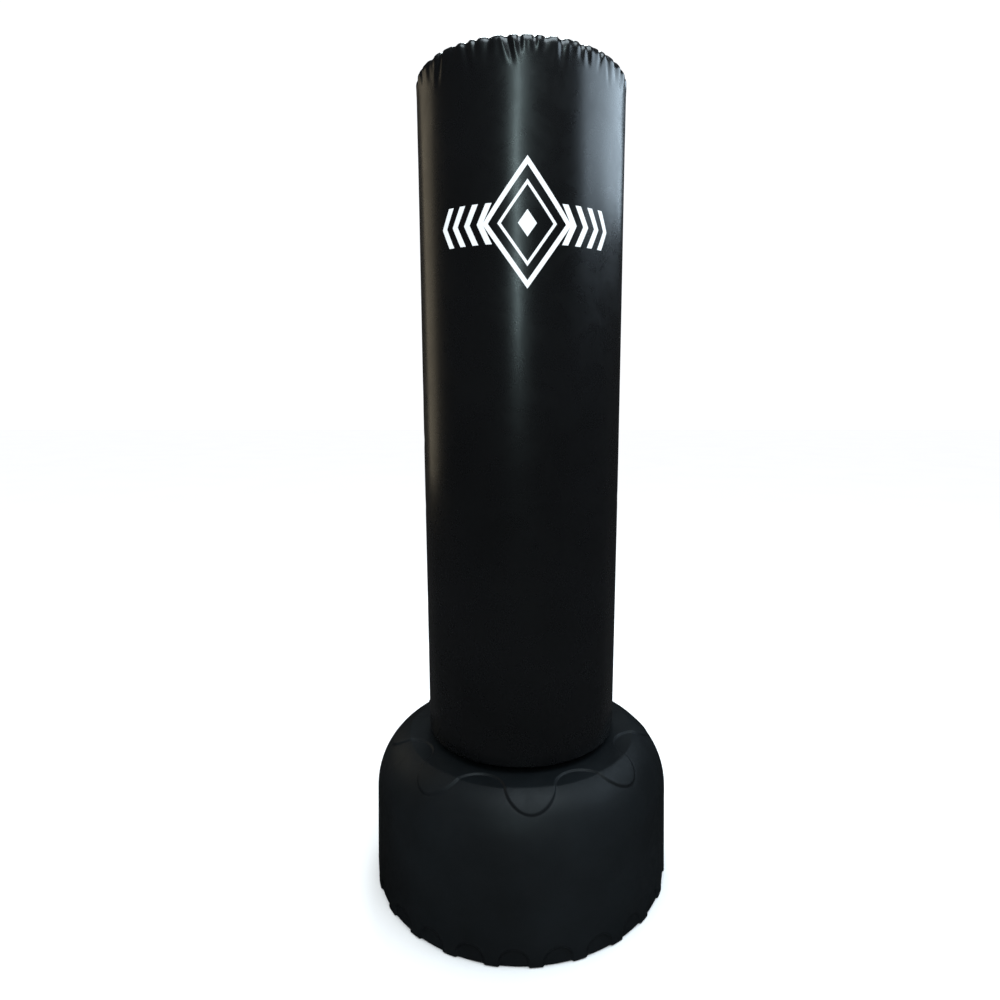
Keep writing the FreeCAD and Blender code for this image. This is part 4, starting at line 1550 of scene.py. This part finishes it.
@dataclass
class FoamBlock:
    """A turned block of foam with rounded edges.

    Attributes:
        node: the CAD node it stands for.
        name: its name.
        inner: radius of its bore.
        outer: its radius.
        edge: radius of its rounded edges.
        fill: how full its padding is; not used.
    """

    node: str
    name: str
    inner: float
    outer: float
    edge: float
    fill: float

    def build(self) -> bpy.types.Object:
        """Turn the block inside its node's box.

        Returns:
            The block.
        """
        low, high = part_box(self.node)
        gap = 0.0006
        top, bottom = high.z - gap, low.z + gap
        outer, edge = self.outer - gap, self.edge
        points = [(self.inner, bottom), (outer - edge, bottom)]
        points += arc_points((outer - edge, bottom + edge), edge, -90, 0, 4)[1:]
        points += line_points(points[-1], (outer, top - edge), 0.05)
        points += arc_points((outer - edge, top - edge), edge, 0, 90, 4)[1:]
        points.append((self.inner, top))
        block = lathe(self.name, points, 128)
        co = coordinates(block)
        reach, turn = polar(co)
        dimple = 0.0004 * np.sin(9 * turn + 40 * co[:, 2]) - 0.0004
        unit = outwards(co)
        co[:, :2] += unit * np.where(reach > self.outer - 0.004, dimple, 0.0)[:, None]
        move_vertices(block, co)
        smooth(block, 50.0)
        return block


# --------------------------------------------------------------------------- studio


@dataclass(frozen=True)
class SoftBox:
    """A rectangular studio light.

    Attributes:
        name: its name.
        place: where it stands.
        aim: what it points at.
        wide: its width.
        tall: its height.
        power: its power in watts.
        colour: its colour.
    """

    name: str
    place: tuple[float, float, float]
    aim: tuple[float, float, float]
    wide: float
    tall: float
    power: float
    colour: Colour = (1.0, 1.0, 1.0)

    def build(self) -> None:
        """Add the light."""
        data = bpy.data.lights.new(self.name, "AREA")
        data.shape = "RECTANGLE"
        data.size, data.size_y = self.wide, self.tall
        data.energy = self.power
        data.color = self.colour
        lamp = bpy.data.objects.new(self.name, data)
        bpy.context.scene.collection.objects.link(lamp)
        lamp.location = self.place
        away = Vector(self.aim) - Vector(self.place)
        lamp.rotation_euler = away.to_track_quat("-Z", "Y").to_euler()


LIGHTS = (
    SoftBox("front_strip", (-0.10, -2.6, 2.3), (0.0, 0.0, 1.3), 0.20, 1.8, 12.0, (0.74, 0.97, 1.0)),
    SoftBox("right_window", (2.2, 0.4, 2.6), (0.0, 0.0, 1.55), 3.0, 1.1, 34.0, (0.68, 0.85, 1.0)),
    SoftBox("left_card", (-1.8, 1.0, 1.6), (0.0, 0.0, 1.2), 1.0, 1.9, 3.2, (1.0, 0.86, 0.62)),
    SoftBox("overhead", (0.35, -0.9, 3.6), (0.0, 0.0, 0.3), 1.8, 1.5, 44.0, (0.78, 0.92, 1.0)),
    SoftBox("rim_light", (0.0, 1.5, 3.6), (0.0, 0.0, 1.75), 0.8, 0.8, 30.0, (0.86, 0.97, 1.0)),
)


@dataclass
class Studio:
    """Pale floor, soft lights and the camera.

    Attributes:
        camera_place: where the camera stands.
        tilt: its tilt up from straight down, in degrees.
        lens: its focal length in millimetres.
        shift_x: its sideways shift.
        air: brightness of the surroundings.
        air_in_gloss: their brightness as glossy pieces see them.
        floor_in_gloss: brightness of the floor as glossy pieces see it.
    """

    camera_place: tuple[float, float, float] = (0.0, -1.499, 1.117)
    tilt: float = 81.0
    lens: float = 24.06
    shift_x: float = -0.0213
    air: float = 1.08
    air_in_gloss: float = 0.025
    floor_in_gloss: float = 0.02

    def build(self, paint: Paintbox) -> None:
        """Set the stage.

        Args:
            paint: the finishes.
        """
        deselect_all()
        bpy.ops.mesh.primitive_plane_add(size=40.0, location=(0, 0, -0.0005))
        floor = bpy.context.object
        floor.name = "pale_floor"
        settle(floor)
        paint.dress(floor, FLOOR)
        self.paint_floor_reflection_dark(floor.data.materials[0])
        world = bpy.data.worlds.new("studio_air")
        bpy.context.scene.world = world
        world.use_nodes = True
        w = Wiring(world.node_tree)
        background = world.node_tree.nodes["Background"]
        background.inputs["Color"].default_value = (0.97, 0.98, 1.0, 1.0)
        glossy = w.add("LightPath").outputs["Is Glossy Ray"]
        dim = w.remap(glossy, 0.0, 1.0, self.air, self.air_in_gloss)
        w.link(dim, background.inputs["Strength"])
        for light in LIGHTS:
            light.build()
        data = bpy.data.cameras.new("camera")
        data.lens = self.lens
        data.shift_x = self.shift_x
        camera = bpy.data.objects.new("camera", data)
        bpy.context.scene.collection.objects.link(camera)
        camera.location = self.camera_place
        camera.rotation_euler = (math.radians(self.tilt), 0.0, 0.0)
        bpy.context.scene.camera = camera
        bpy.context.scene.view_settings.view_transform = "Standard"

    def paint_floor_reflection_dark(self, material: bpy.types.Material) -> None:
        """Painted reflection: glossy rays see the floor in a dark colour, so its mirror image in the
        glossy pieces is dim.

        Args:
            material: the floor's material.
        """
        w = Wiring(material.node_tree)
        out = material.node_tree.nodes["Material Output"]
        shader = material.node_tree.nodes["Principled BSDF"]
        # painted dark reflection: a near-black colour that only glossy rays see on the floor
        dark = w.add("BsdfDiffuse", Color=(self.floor_in_gloss,) * 3 + (1.0,))
        mix = w.add("MixShader")
        w.link(w.add("LightPath").outputs["Is Glossy Ray"], mix.inputs[0])
        w.link(shader.outputs[0], mix.inputs[1])
        w.link(dark.outputs[0], mix.inputs[2])
        w.link(mix.outputs[0], out.inputs["Surface"])


# --------------------------------------------------------------------------- the whole bag


@dataclass
class Assembly:
    """The bag's visible pieces, each on its body and in its finish.

    Attributes:
        paint: the finishes.
    """

    paint: Paintbox = field(default_factory=Paintbox)

    def place(
        self, piece: bpy.types.Object, body: str, slot: str, finish: Finish, *nodes: str
    ) -> bpy.types.Object:
        """Put a piece on a body and dress it.

        Args:
            piece: the piece.
            body: the CAD body it moves with.
            slot: its material slot in the record; not used.
            finish: its finish.
            nodes: the CAD nodes it stands for.

        Returns:
            The piece.
        """
        self.paint.dress(piece, finish)
        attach(piece, body)
        if nodes:
            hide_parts(*nodes)
        LOG.info("%s rides on %s, %d faces", piece.name, body, len(piece.data.polygons))
        return piece

    def dress_nodes(self) -> None:
        """Give each CAD node that stays its finish."""
        for name, node in frame["nodes"].items():
            if name in NODE_FINISHES:
                self.paint.dress(node, NODE_FINISHES[name])

    def build_base(self) -> None:
        """Make the tank and the flare round the filler's boss."""
        self.place(BaseTank().build(), Body.BASE.value, Slot.TANK.value, TANK_PLASTIC, "base_tank")
        flare = BossFillet().build(filler_place())
        self.place(flare, Body.BASE.value, Slot.TANK.value, TANK_PLASTIC)

    def build_bag(self) -> None:
        """Make the cover, its seam, the top panel, the print and the padding."""
        cover = self.place(Cover().build(), Body.BAG.value, Slot.COVER.value, VINYL, "cover_sleeve")
        seam = BackSeam()
        self.place(seam.build_lap(), Body.BAG.value, Slot.COVER.value, PANEL_VINYL)
        self.place(seam.build_stitches(), Body.BAG.value, Slot.COVER.value, THREAD)
        panel = TopPanel()
        self.place(panel.build(), Body.BAG.value, Slot.COVER.value, PANEL_VINYL, "top_panel")
        self.place(panel.build_stitches(), Body.BAG.value, Slot.COVER.value, THREAD)
        self.place(PrintedTarget().build(cover), Body.BAG.value, Slot.COVER.value, PRINT_INK)
        blocks = (
            (
                FoamBlock("inner_foam", "firm_foam_block", 0.118, 0.1497, 0.004, 0.8),
                FIRM_FOAM,
                Slot.FIRM_FOAM,
            ),
            (
                FoamBlock("outer_foam", "soft_foam_block", 0.1503, 0.2117, 0.010, 0.7),
                SOFT_FOAM,
                Slot.SOFT_FOAM,
            ),
            (
                FoamBlock("top_pad", "crown_pad", 0.0, 0.2117, 0.012, 0.6),
                SOFT_FOAM,
                Slot.SOFT_FOAM,
            ),
        )
        for block, finish, slot in blocks:
            piece = self.place(block.build(), Body.BAG.value, slot.value, finish, block.node)


def main() -> None:
    """Build the studio and the bag."""
    logging.basicConfig(level=logging.INFO, format="%(name)s: %(message)s")
    assembly = Assembly()
    Studio().build(assembly.paint)
    assembly.dress_nodes()
    assembly.build_base()
    assembly.build_bag()
    deselect_all()


if __name__ == "__main__":
    main()
